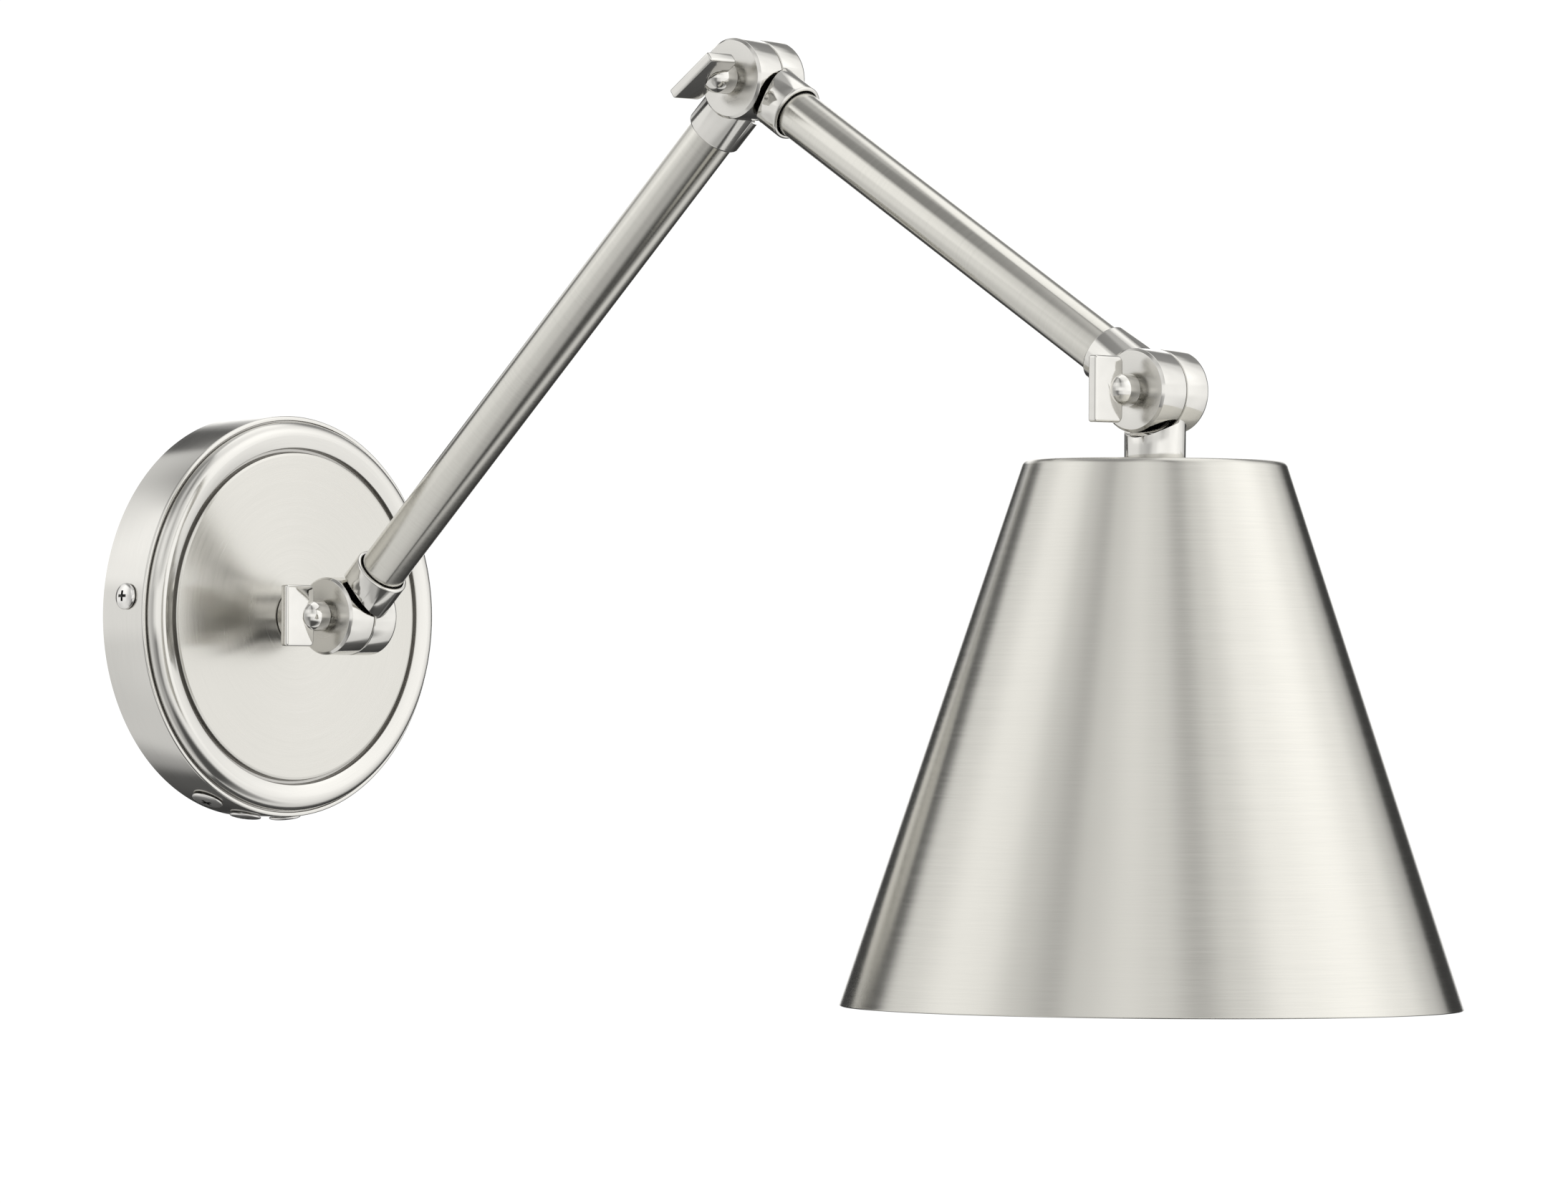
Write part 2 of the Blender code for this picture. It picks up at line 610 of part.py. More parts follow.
def make_key(name, hinge, turn, parent):
    """Thumb key: a flat paddle on a bullet shaped boss, with a threaded shank into the far half."""
    face = DISC_HALF_WIDTH
    boss_start = face + KEY_STANDOFF
    boss_end = boss_start + KEY_BOSS_LENGTH
    shank_end = -(KEY_HOLE_DEPTH - 2 * GAP)
    profile = arc((0.0, boss_end), (KEY_BOSS_RADIUS, KEY_NOSE_LENGTH), 90, 0, 4)
    profile[0] = (0.0, boss_end + KEY_NOSE_LENGTH)
    profile += [(KEY_BOSS_RADIUS, boss_start), (KEY_SHANK_RADIUS, boss_start)]
    profile += [(KEY_SHANK_RADIUS, shank_end), (0.0, shank_end)]
    key = turned(name, profile, hinge, NEAR, 20)
    paddle_middle = face + KEY_PADDLE_START + KEY_PADDLE_LENGTH / 2
    size = (KEY_PADDLE_LENGTH, KEY_PADDLE_THICKNESS, KEY_PADDLE_HEIGHT)
    paddle = box(f"{name}_paddle", size, hinge + NEAR * paddle_middle, 0.7 * MM)
    paddle.rotation_euler = (turn, 0.0, 0.0)
    join(key, as_cutter(paddle))
    finish(key, BRIGHT_NICKEL, parent)


# ---------------------------------------------------------------- arms

def make_tube(name, hinge, direction, length, parent):
    """Straight tube between two cups."""
    start = TUBE_SEAT_START
    end = length - TUBE_SEAT_START
    inner = TUBE_RADIUS - TUBE_WALL
    profile = [(inner, end), (TUBE_RADIUS, end), (TUBE_RADIUS, start), (inner, start)]
    tube = turned(name, profile, hinge, direction, SEGMENTS, ring=True)
    finish(tube, NICKEL, parent)


def make_lead(name, hinge, direction, length, parent):
    """Two-core lead inside an arm, from the far half's passage to the near half's passage."""
    start = 9.5 * MM
    end = length - start
    straight = 6.5 * MM
    blend = 26.0 * MM
    curve = bpy.data.curves.new(name, "CURVE")
    curve.dimensions = "3D"
    curve.bevel_depth = LEAD_RADIUS
    curve.bevel_resolution = 2
    curve.use_fill_caps = True
    spline = curve.splines.new("POLY")
    stations = [start, start + straight]
    stations += [start + straight + blend * i / 4 for i in range(1, 5)]
    stations += [length - s for s in reversed(stations)]
    spline.points.add(len(stations) - 1)
    for point, station in zip(spline.points, stations):
        from_end = min(station - start, end - station) - straight
        share = min(max(from_end / blend, 0.0), 1.0)
        offset = WIRE_HOLE_OFFSET * (1 + math.cos(math.pi * share)) / 2
        side = FAR if station < length / 2 else NEAR
        place = direction * station + side * offset
        point.co = (*place, 1.0)
    lead = bpy.data.objects.new(name, curve)
    lead.location = hinge
    finish(lead, LEAD_PLASTIC, parent)


# ---------------------------------------------------------------- shade and lamp holder

def make_shade(parent):
    """Spun cone with a flat top; heights are negative drops."""
    top = -SHADE_DROP
    bottom = -(SHADE_DROP + SHADE_HEIGHT)
    wall = SHADE_WALL
    slope = math.degrees(math.atan2(SHADE_BOTTOM_RADIUS - SHADE_TOP_RADIUS, SHADE_HEIGHT))
    corner_radius = SHADE_TOP_RADIUS - SHADE_CORNER
    corner = (corner_radius, top - SHADE_CORNER)
    outer = [(SHANK_HOLE_RADIUS, top), (0.6 * corner_radius, top)]
    outer += arc(corner, (SHADE_CORNER, SHADE_CORNER), 90, slope, 3)
    outer += [(SHADE_BOTTOM_RADIUS, bottom)]
    inner = [(SHADE_BOTTOM_RADIUS - wall, bottom)]
    inner += arc(corner, (SHADE_CORNER - wall, SHADE_CORNER - wall), slope, 90, 2)
    inner += [(0.6 * corner_radius, top - wall), (SHANK_HOLE_RADIUS, top - wall)]
    shade = turned("shade", outer + inner, HEAD_HINGE, -DOWN, FINE_SEGMENTS, ring=True)
    finish(shade, NICKEL, parent)


def make_socket_cap(parent):
    """Cup that covers the top of the lamp holder, clamped under the shade's top."""
    top = -(SHADE_DROP + SHADE_WALL + GAP)
    bottom = top - CAP_HEIGHT
    round_edge = 3.0 * MM
    profile = [(SHANK_HOLE_RADIUS, top)]
    profile += arc((CAP_RADIUS - round_edge, top - round_edge), (round_edge, round_edge), 90, 0, 3)
    profile += [(CAP_RADIUS, bottom), (CAP_RADIUS - CAP_WALL, bottom)]
    profile += [(CAP_RADIUS - CAP_WALL, top - round_edge), (CAP_RADIUS - round_edge, top - CAP_WALL)]
    profile += [(SHANK_HOLE_RADIUS, top - CAP_WALL)]
    cap = turned("socket_cap", profile, HEAD_HINGE, -DOWN, SEGMENTS, ring=True)
    finish(cap, NICKEL, parent)
    return bottom


def make_socket(parent):
    """Glazed ceramic holder with a metal screw shell and a centre contact."""
    cap_bottom = make_socket_cap(parent)
    plug_radius = CAP_RADIUS - CAP_WALL - GAP
    plug_top = cap_bottom + PLUG_HEIGHT
    floor = -SOCKET_FLOOR_DROP
    bottom = -SOCKET_BOTTOM_DROP
    lip = 1.0 * MM
    profile = [(0.0, plug_top), (plug_radius, plug_top), (plug_radius, cap_bottom - GAP)]
    profile += [(CAP_RADIUS, cap_bottom - GAP), (SOCKET_RADIUS, cap_bottom - 2 * MM)]
    profile += [(SOCKET_RADIUS, bottom + lip), (SOCKET_RADIUS - lip, bottom)]
    profile += [(SOCKET_BORE_RADIUS, bottom), (SOCKET_BORE_RADIUS, floor), (0.0, floor)]
    body = turned("socket_body", profile, HEAD_HINGE, -DOWN, SEGMENTS)
    finish(body, PORCELAIN, parent)
    make_screw_shell(parent, floor - GAP, bottom + 2 * MM)
    make_contact(parent, floor - GAP)


def make_screw_shell(parent, top, bottom):
    """Thin metal shell with a rolled thread and a floor that has a hole for the contact."""
    hole_radius = CONTACT_RADIUS + SHELL_CONTACT_SPACE
    floor_radius = SHELL_RADIUS - SHELL_CORNER
    outer = [(hole_radius, top), (floor_radius, top)]
    inner = [(hole_radius, top - SHELL_WALL), (floor_radius, top - SHELL_WALL)]
    height = top - SHELL_CORNER
    crest = True
    while height > bottom + SHELL_PITCH / 2:
        radius = SHELL_RADIUS if crest else SHELL_RADIUS - SHELL_THREAD
        outer.append((radius, height))
        inner.append((radius - SHELL_WALL, height))
        height -= SHELL_PITCH / 2
        crest = not crest
    outer.append((SHELL_RADIUS, bottom))
    inner.append((SHELL_RADIUS - SHELL_WALL, bottom))
    profile = outer + inner[::-1]
    shell = turned("screw_shell", profile, HEAD_HINGE, -DOWN, COARSE_SEGMENTS, ring=True)
    finish(shell, BRASS, parent)


def make_contact(parent, top):
    """Centre contact: a brass button on the socket's floor, with a flat tip."""
    foot = 0.8 * MM
    tip = 3.4 * MM
    profile = [(0.0, top), (CONTACT_RADIUS, top), (CONTACT_RADIUS, top - foot)]
    profile += [(0.65 * CONTACT_RADIUS, top - tip), (0.0, top - tip)]
    contact = turned("centre_contact", profile, HEAD_HINGE, -DOWN, COARSE_SEGMENTS)
    finish(contact, BRASS, parent)


# ---------------------------------------------------------------- assembly

def smooth_round_pieces():
    for obj in PARTS.objects:
        if obj.type == "MESH":
            shade_smooth(obj)


def main():
    lower_empty = hinge_empty("lower_hinge", LOWER_HINGE)
    elbow_empty = hinge_empty("elbow_hinge", ELBOW_HINGE, lower_empty)
    head_empty = hinge_empty("head_hinge", HEAD_HINGE, elbow_empty)

    make_canopy()
    make_crossbar()
    make_canopy_screws()
    stub_shoulder = LOWER_HINGE_REACH - CANOPY_FACE_HEIGHT - GAP
    make_shank_half(
        "stub_swivel", LOWER_HINGE, NEAR, INTO_WALL, stub_shoulder, STUB_SHANK_LENGTH, None
    )
    stub_seat = OUT * (CANOPY_FACE_HEIGHT - CANOPY_WALL)
    make_nut_and_washer("stub", stub_seat, INTO_WALL, None)
    make_friction_ring("lower_friction_ring", LOWER_HINGE, None)
    make_key("lower_key", LOWER_HINGE, 0.0, None)

    make_cup_half("lower_arm_swivel", LOWER_HINGE, FAR, LOWER_DIRECTION, lower_empty)
    make_tube("lower_tube", LOWER_HINGE, LOWER_DIRECTION, LOWER_ARM_LENGTH, lower_empty)
    make_lead("lower_lead", LOWER_HINGE, LOWER_DIRECTION, LOWER_ARM_LENGTH, lower_empty)
    make_cup_half("elbow_near_swivel", ELBOW_HINGE, NEAR, -LOWER_DIRECTION, lower_empty)
    make_friction_ring("elbow_friction_ring", ELBOW_HINGE, lower_empty)
    make_key("elbow_key", ELBOW_HINGE, ELBOW_KEY_TURN, lower_empty)

    make_cup_half("elbow_far_swivel", ELBOW_HINGE, FAR, UPPER_DIRECTION, elbow_empty)
    make_tube("upper_tube", ELBOW_HINGE, UPPER_DIRECTION, UPPER_ARM_LENGTH, elbow_empty)
    make_lead("upper_lead", ELBOW_HINGE, UPPER_DIRECTION, UPPER_ARM_LENGTH, elbow_empty)
    make_cup_half("head_near_swivel", HEAD_HINGE, NEAR, -UPPER_DIRECTION, elbow_empty)
    make_friction_ring("head_friction_ring", HEAD_HINGE, elbow_empty)
    make_key("head_key", HEAD_HINGE, 0.0, elbow_empty)

    make_shank_half(
        "shade_neck_swivel", HEAD_HINGE, FAR, DOWN, SHADE_DROP - GAP, NECK_SHANK_LENGTH, head_empty
    )
    make_shade(head_empty)
    neck_seat = HEAD_HINGE + DOWN * (SHADE_DROP + SHADE_WALL + GAP + CAP_WALL)
    make_nut_and_washer("neck", neck_seat, DOWN, head_empty)
    make_socket(head_empty)
    smooth_round_pieces()


main()
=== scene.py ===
"""Looks of the swing arm wall sconce: fine metal work, finishes, studio and camera.

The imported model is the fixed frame. Every visible part is made again here with fine
edges, and stands for its plain CAD node. Lengths are in metres.
"""
import json
import math

import bmesh
import bpy
from mathutils import Matrix, Quaternion, Vector


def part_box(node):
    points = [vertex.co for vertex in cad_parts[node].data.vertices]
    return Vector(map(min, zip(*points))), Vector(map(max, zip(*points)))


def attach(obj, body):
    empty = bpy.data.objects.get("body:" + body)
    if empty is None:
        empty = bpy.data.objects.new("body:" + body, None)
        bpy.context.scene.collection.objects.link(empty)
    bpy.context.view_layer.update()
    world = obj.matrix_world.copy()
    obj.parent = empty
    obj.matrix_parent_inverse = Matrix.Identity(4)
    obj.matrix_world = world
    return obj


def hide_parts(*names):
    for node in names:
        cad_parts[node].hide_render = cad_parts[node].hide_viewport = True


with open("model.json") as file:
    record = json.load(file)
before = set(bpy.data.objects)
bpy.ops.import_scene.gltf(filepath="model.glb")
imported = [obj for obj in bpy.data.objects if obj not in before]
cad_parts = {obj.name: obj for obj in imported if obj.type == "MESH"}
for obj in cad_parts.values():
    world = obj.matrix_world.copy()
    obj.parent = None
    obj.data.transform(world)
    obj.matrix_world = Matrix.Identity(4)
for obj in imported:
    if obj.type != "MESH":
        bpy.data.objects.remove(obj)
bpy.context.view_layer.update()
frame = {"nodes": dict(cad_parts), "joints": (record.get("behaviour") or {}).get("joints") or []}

MM = 0.001
GAP = 0.3 * MM

OUT = Vector((0.0, -1.0, 0.0))
INTO_WALL = Vector((0.0, 1.0, 0.0))
UP = Vector((0.0, 0.0, 1.0))
DOWN = Vector((0.0, 0.0, -1.0))
NEAR = Vector((-1.0, 0.0, 0.0))
FAR = Vector((1.0, 0.0, 0.0))

# ---------------------------------------------------------------- sizes read from the frame

JOINTS = {joint["name"]: Vector(joint["pos_m"]) for joint in frame["joints"]}
LOWER_HINGE = JOINTS["lower_swivel"]
ELBOW_HINGE = JOINTS["elbow_swivel"]
HEAD_HINGE = JOINTS["head_swivel"]
LOWER_LENGTH = (ELBOW_HINGE - LOWER_HINGE).length
UPPER_LENGTH = (HEAD_HINGE - ELBOW_HINGE).length
LOWER_DIRECTION = (ELBOW_HINGE - LOWER_HINGE).normalized()
UPPER_DIRECTION = (HEAD_HINGE - ELBOW_HINGE).normalized()

CANOPY_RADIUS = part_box("canopy")[1].x
BEAD_CROWN_HEIGHT = -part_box("canopy")[0].y
DISC_RADIUS = LOWER_HINGE.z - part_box("stub_swivel")[0].z
DISC_HALF_WIDTH = -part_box("stub_swivel")[0].x
TUBE_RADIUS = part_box("lower_tube")[1].x
SHADE_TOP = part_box("shade")[1].z
SHADE_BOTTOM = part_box("shade")[0].z
SHADE_BOTTOM_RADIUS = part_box("shade")[1].x
KEY_END = -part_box("lower_key")[0].x

# ---------------------------------------------------------------- sizes of the CAD part and its fine features

CANOPY_WALL = 1.2 * MM
CANOPY_SIDE_HEIGHT = 18.2 * MM
CANOPY_FACE_HEIGHT = 21.3 * MM
BEAD_OUTER_RADIUS = 61.7 * MM
BEAD_CROWN_RADIUS = 57.5 * MM
GROOVE_RADIUS = 52.6 * MM
GROOVE_WIDTH = 3.3 * MM
FINE_GROOVE_DEPTH = 2.2 * MM  # the fine groove is cut deeper than the CAD node's
CREASE_WIDTH = 0.5 * MM  # fine line at the foot of the bead
CREASE_DEPTH = 0.6 * MM
FASTENER_TURN = math.radians(5.0)
SIDE_SCREW_HEIGHT = 10.7 * MM
SIDE_SCREW_HEAD_RADIUS = 4.2 * MM
SIDE_SCREW_DOME = 1.5 * MM
RIM_SCREW_HEIGHT = 9.0 * MM
RIM_SCREW_HEAD_RADIUS = 5.0 * MM
RIM_SCREW_DOME = 0.8 * MM
CANOPY_HOLE_RADIUS = 2.5 * MM
CANOPY_HOLE_SPAN = (51.0 * MM, 76.0 * MM)
SIDE_SCREW_SHANK = (2.0 * MM, 9.0 * MM)  # radius and length
RIM_SCREW_SHANK = (2.0 * MM, 6.0 * MM)
SCREW_PITCH = 0.8 * MM
SCREW_THREAD = 0.3 * MM
RIM_SCREW_ANGLES = [math.radians(a) for a in (-24.5, -9.0, 6.5)]

BAR_THICKNESS = 1.6 * MM
BAR_WIDTH = 18.0 * MM
BAR_HALF_LENGTH = 61.0 * MM
BAR_TAB_HEIGHT = 16.0 * MM
BAR_BEND_RADIUS = 2.4 * MM
BOX_SCREW_SPACING = 88.9 * MM
BOX_SLOT_LENGTH = 12.0 * MM
BOX_SLOT_WIDTH = 5.4 * MM
GROUND_SCREW_X = 20.0 * MM
GROUND_SCREW_HEAD = (3.8 * MM, 1.6 * MM)  # radius and dome
GROUND_SCREW_SHANK = (2.0 * MM, 1.7 * MM)
TAB_HOLE_RADIUS = 2.3 * MM
TAB_HOLE_SPAN = (50.0 * MM, 70.0 * MM)
BAR_CUT_REACH = 3.0 * MM

NEAR_EDGE_BEVEL = 0.8 * MM
FAR_EDGE_ROUND = 1.9 * MM
NECK_RADIUS = 8.9 * MM
CHAMBER_INNER_RADIUS = 4.5 * MM
CHAMBER_OUTER_RADIUS = 8.3 * MM
CHAMBER_DEPTH = 6.5 * MM
RING_SEAT_RADIUS = 11.2 * MM
RING_SEAT_DEPTH = 0.9 * MM
SADDLE_RADIUS = 12.6 * MM
FINE_FLARE = 1.0 * MM  # the saddle closes in on the disc further than the CAD node's
SADDLE_CUT_REACH = 26.0 * MM
EDGE_ROUND = 0.18 * MM
CUP_END_ROUND = 0.7 * MM
KEY_HOLE_RADIUS = 3.3 * MM
KEY_HOLE_DEPTH = 8.0 * MM
TUBE_WALL = 1.0 * MM
TUBE_SEAT_START = 15.0 * MM
NEAR_CUP_END = 22.4 * MM
FAR_CUP_END = 21.0 * MM
CUP_LIP_RADIUS = 7.8 * MM  # a closer fit on the tube than the CAD node has
CUP_LIP_DEPTH = 1.2 * MM

SHANK_RADIUS = 4.8 * MM
SHANK_HOLE_RADIUS = 5.2 * MM
SHANK_BORE_RADIUS = 2.9 * MM
STUB_SHANK_LENGTH = 13.5 * MM
NECK_SHANK_LENGTH = 11.0 * MM
BORE_INSET = 4.5 * MM
NUT_HEIGHT = 4.0 * MM
NUT_FLATS_RADIUS = 7.6 * MM
NUT_CORNER_RADIUS = NUT_FLATS_RADIUS / math.cos(math.pi / 6)
WASHER_RADIUS = 8.6 * MM
WASHER_THICKNESS = 1.0 * MM

KEY_STANDOFF = 1.45 * MM
KEY_BOSS_RADIUS = 4.85 * MM
KEY_BOSS_LENGTH = 4.0 * MM
KEY_NOSE_LENGTH = 5.2 * MM
KEY_SHANK_RADIUS = 3.0 * MM
KEY_PADDLE_START = 5.45 * MM
KEY_PADDLE_HEIGHT = 19.3 * MM
KEY_PADDLE_THICKNESS = 3.2 * MM
KEY_PADDLE_OUTER_CORNER = 2.0 * MM
KEY_PADDLE_EDGE = 0.8 * MM
KEY_SHANK_PITCH = 1.0 * MM
KEY_SHANK_THREAD = 0.35 * MM
ELBOW_KEY_TURN = math.radians(55.0)

SHADE_TOP_RADIUS = 38.6 * MM
SHADE_WALL = 0.8 * MM
SHADE_CORNER = 2.4 * MM
CAP_RADIUS = 20.0 * MM
CAP_HEIGHT = 18.0 * MM
CAP_WALL = 1.0 * MM
SOCKET_RADIUS = 19.4 * MM
SOCKET_BOTTOM_DROP = 79.0 * MM
SOCKET_FLOOR_DROP = 50.0 * MM
SOCKET_BORE_RADIUS = 15.2 * MM
PLUG_HEIGHT = 4.5 * MM
SHELL_RADIUS = 14.2 * MM
SHELL_WALL = 0.6 * MM
SHELL_THREAD = 0.7 * MM
SHELL_PITCH = 3.6 * MM
SHELL_CORNER = 1.5 * MM
SHELL_CONTACT_SPACE = 2.5 * MM
CONTACT_RADIUS = 4.0 * MM
CONTACT_FOOT = 0.8 * MM
CONTACT_HEIGHT = 3.4 * MM

FINE_SEGMENTS = 256
SEGMENTS = 96
SCREW_SEGMENTS = 48
NECK_ROLL = math.radians(1.3)
HOLE_ROLL = math.radians(2.1)


# ---------------------------------------------------------------- node helpers

def add_node(tree, kind, values=None, **settings):
    """A new shader node with its settings and its unlinked input values."""
    node = tree.nodes.new(kind)
    for key, value in settings.items():
        setattr(node, key, value)
    for key, value in (values or {}).items():
        node.inputs[key].default_value = value
    return node


def math_node(tree, operation, first, second=0.0):
    """One Math node; each side is a socket or a number."""
    node = add_node(tree, "ShaderNodeMath", operation=operation)
    for index, side in enumerate((first, second)):
        if isinstance(side, (int, float)):
            node.inputs[index].default_value = side
        else:
            tree.links.new(side, node.inputs[index])
    return node.outputs[0]


def combine(tree, x, y, z):
    """A vector from three sockets or numbers."""
    node = add_node(tree, "ShaderNodeCombineXYZ")
    for index, side in enumerate((x, y, z)):
        if isinstance(side, (int, float)):
            node.inputs[index].default_value = side
        else:
            tree.links.new(side, node.inputs[index])
    return node.outputs[0]


def spread(tree, value, low, high, from_low=0.3, from_high=0.7):
    """Map a noise value onto low..high."""
    node = add_node(tree, "ShaderNodeMapRange")
    tree.links.new(value, node.inputs["Value"])
    node.inputs["From Min"].default_value = from_low
    node.inputs["From Max"].default_value = from_high
    node.inputs["To Min"].default_value = low
    node.inputs["To Max"].default_value = high
    return node.outputs["Result"]


def noise(tree, vector, scale, detail=3.0, roughness=0.55):
    node = add_node(
        tree, "ShaderNodeTexNoise", {"Scale": scale, "Detail": detail, "Roughness": roughness}
    )
    tree.links.new(vector, node.inputs["Vector"])
    return node.outputs["Fac"]


def tinted(tree, shader, colour, share):
    """Feed the shader a base colour whose brightness follows share, a socket near 1."""
    mix = add_node(tree, "ShaderNodeVectorMath", operation="SCALE")
    mix.inputs[0].default_value = colour
    tree.links.new(share, mix.inputs["Scale"])
    tree.links.new(mix.outputs[0], shader.inputs["Base Color"])


def bumped(tree, shader, height, strength, distance):
    bump = add_node(tree, "ShaderNodeBump", {"Strength": strength, "Distance": distance})
    tree.links.new(height, bump.inputs["Height"])
    tree.links.new(bump.outputs["Normal"], shader.inputs["Normal"])


def new_material(name):
    material = bpy.data.materials.new(name)
    material.use_nodes = True
    tree = material.node_tree
    return material, tree, tree.nodes["Principled BSDF"]


def object_xyz(tree):
    """Object coordinates as a vector socket and as its three parts."""
    place = add_node(tree, "ShaderNodeTexCoord").outputs["Object"]
    parts = add_node(tree, "ShaderNodeSeparateXYZ")
    tree.links.new(place, parts.inputs[0])
    return place, parts.outputs


# ---------------------------------------------------------------- finishes

def turned_nickel(name, colour, roughness, contrast=0.05, line=0.16 * MM, streak=14 * MM, anisotropy=0.75):
    """Nickel brushed in a lathe: fine lines run round the piece's own Z axis."""
    material, tree, shader = new_material(name)
    place, (x, y, z) = object_xyz(tree)
    radius = math_node(tree, "SQRT", math_node(tree, "ADD", math_node(tree, "MULTIPLY", x, x),
                                               math_node(tree, "MULTIPLY", y, y)))
    along = math_node(tree, "SUBTRACT", radius, z)
    vector = combine(
        tree,
        math_node(tree, "DIVIDE", x, streak),
        math_node(tree, "DIVIDE", y, streak),
        math_node(tree, "DIVIDE", along, line),
    )
    fine = noise(tree, vector, 1.0, 2.0, 0.6)
    wide_vector = combine(
        tree,
        math_node(tree, "DIVIDE", x, 3 * streak),
        math_node(tree, "DIVIDE", y, 3 * streak),
        math_node(tree, "DIVIDE", along, 7 * line),
    )
    wide = noise(tree, wide_vector, 1.0, 2.0, 0.5)
    both = math_node(tree, "ADD", math_node(tree, "MULTIPLY", fine, 0.62),
                     math_node(tree, "MULTIPLY", wide, 0.38))
    tinted(tree, shader, colour, spread(tree, both, 1.0 - contrast, 1.0 + contrast))
    cloud = noise(tree, place, 18.0, 2.0, 0.5)
    rough = math_node(tree, "ADD", spread(tree, both, -0.035, 0.035), spread(tree, cloud, -0.015, 0.015))
    tree.links.new(math_node(tree, "ADD", rough, roughness), shader.inputs["Roughness"])
    bumped(tree, shader, both, 0.06, 0.05 * MM)
    shader.inputs["Metallic"].default_value = 1.0
    shader.inputs["Anisotropic"].default_value = anisotropy
    shader.inputs["Anisotropic Rotation"].default_value = 0.25
    grooves = add_node(
        tree, "ShaderNodeVectorTransform", vector_type="VECTOR", convert_from="OBJECT", convert_to="WORLD"
    )
    tree.links.new(combine(tree, math_node(tree, "MULTIPLY", y, -1.0), x, 0.0), grooves.inputs[0])
    tree.links.new(grooves.outputs[0], shader.inputs["Tangent"])
    return material


def soft_metal(name, colour, roughness, contrast=0.04, grain=0.5 * MM, depth=0.03):
    """Lightly buffed metal with faint handling marks and no direction."""
    material, tree, shader = new_material(name)
    place, _ = object_xyz(tree)
    fine = noise(tree, place, 1.0 / grain, 3.0, 0.6)
    cloud = noise(tree, place, 120.0, 2.0, 0.5)
    tinted(tree, shader, colour, spread(tree, cloud, 1.0 - contrast, 1.0 + contrast))
    rough = math_node(tree, "ADD", spread(tree, fine, -0.03, 0.03), spread(tree, cloud, -0.02, 0.03))
    tree.links.new(math_node(tree, "ADD", rough, roughness), shader.inputs["Roughness"])
    bumped(tree, shader, fine, depth, 0.02 * MM)
    shader.inputs["Metallic"].default_value = 1.0
    return material


def matt_surface(name, colour, roughness, grain, depth, contrast=0.08):
    """Plastic, fibre or ceramic with a fine surface grain."""
    material, tree, shader = new_material(name)
    place, _ = object_xyz(tree)
    fine = noise(tree, place, 1.0 / grain, 4.0, 0.6)
    cloud = noise(tree, place, 90.0, 2.0, 0.5)
    tinted(tree, shader, colour, spread(tree, cloud, 1.0 - contrast, 1.0 + contrast))
    rough = spread(tree, fine, roughness - 0.05, roughness + 0.05)
    tree.links.new(rough, shader.inputs["Roughness"])
    bumped(tree, shader, fine, depth, 0.05 * MM)
    return material


NICKEL = (0.66, 0.649, 0.606)
BRUSHED = turned_nickel("brushed_nickel", NICKEL, 0.23, anisotropy=0.92)
PLATE = turned_nickel("brushed_nickel_plate", (0.634, 0.623, 0.587), 0.25, contrast=0.035, line=0.2 * MM)
PLATE_RIM = turned_nickel("brushed_nickel_rim", (0.68, 0.67, 0.64), 0.15, contrast=0.03, line=0.2 * MM)
TUBE = turned_nickel("brushed_nickel_tube", NICKEL, 0.17, contrast=0.05, line=0.14 * MM)
FACED = turned_nickel("faced_nickel", (0.69, 0.68, 0.65), 0.25, contrast=0.025, line=0.1 * MM, streak=60 * MM)
POLISHED = soft_metal("polished_nickel", (0.70, 0.69, 0.66), 0.09)
KEY_METAL = soft_metal("polished_key_nickel", (0.71, 0.70, 0.67), 0.07)
SCREW_METAL = soft_metal("screw_nickel", (0.80, 0.79, 0.77), 0.12)
SATIN_SCREW = soft_metal("satin_screw_nickel", (0.84, 0.83, 0.81), 0.36)
# Near-black metal for the faces inside the screws' cross recesses: painted shade for the dark of the deep
# recess.
RECESS_PAINTED_SHADE = soft_metal("screw_recess_painted_shade", (0.07, 0.07, 0.068), 0.35)
# Darker nickel for the canopy's groove and the crease at the bead's foot: painted shade in these narrow
# hollows.
GROOVE_PAINTED_SHADE = turned_nickel("groove_nickel_painted_shade", (0.46, 0.45, 0.43), 0.22, contrast=0.06)
ZINC = soft_metal("zinc_plate", (0.60, 0.61, 0.63), 0.34, contrast=0.12, grain=0.8 * MM, depth=0.1)
BRASS = soft_metal("brass", (0.72, 0.53, 0.24), 0.24, contrast=0.08)
GREEN = matt_surface("green_screw", (0.03, 0.22, 0.07), 0.35, 0.4 * MM, 0.1)
PORCELAIN = matt_surface("porcelain", (0.84, 0.82, 0.78), 0.14, 1.2 * MM, 0.04, contrast=0.02)
FIBRE = matt_surface("fibre", (0.20, 0.12, 0.08), 0.7, 0.3 * MM, 0.4, contrast=0.2)
JACKET = matt_surface("lead_jacket", (0.035, 0.035, 0.036), 0.45, 0.5 * MM, 0.15)


# ---------------------------------------------------------------- mesh helpers

def arc(centre, radii, start, end, steps):
    """Points on an elliptical arc of a profile, start and end in degrees from +X to +Z."""
    points = []
    for i in range(steps + 1):
        angle = math.radians(start + (end - start) * i / steps)
        points.append((centre[0] + radii[0] * math.cos(angle), centre[1] + radii[1] * math.sin(angle)))
    return points


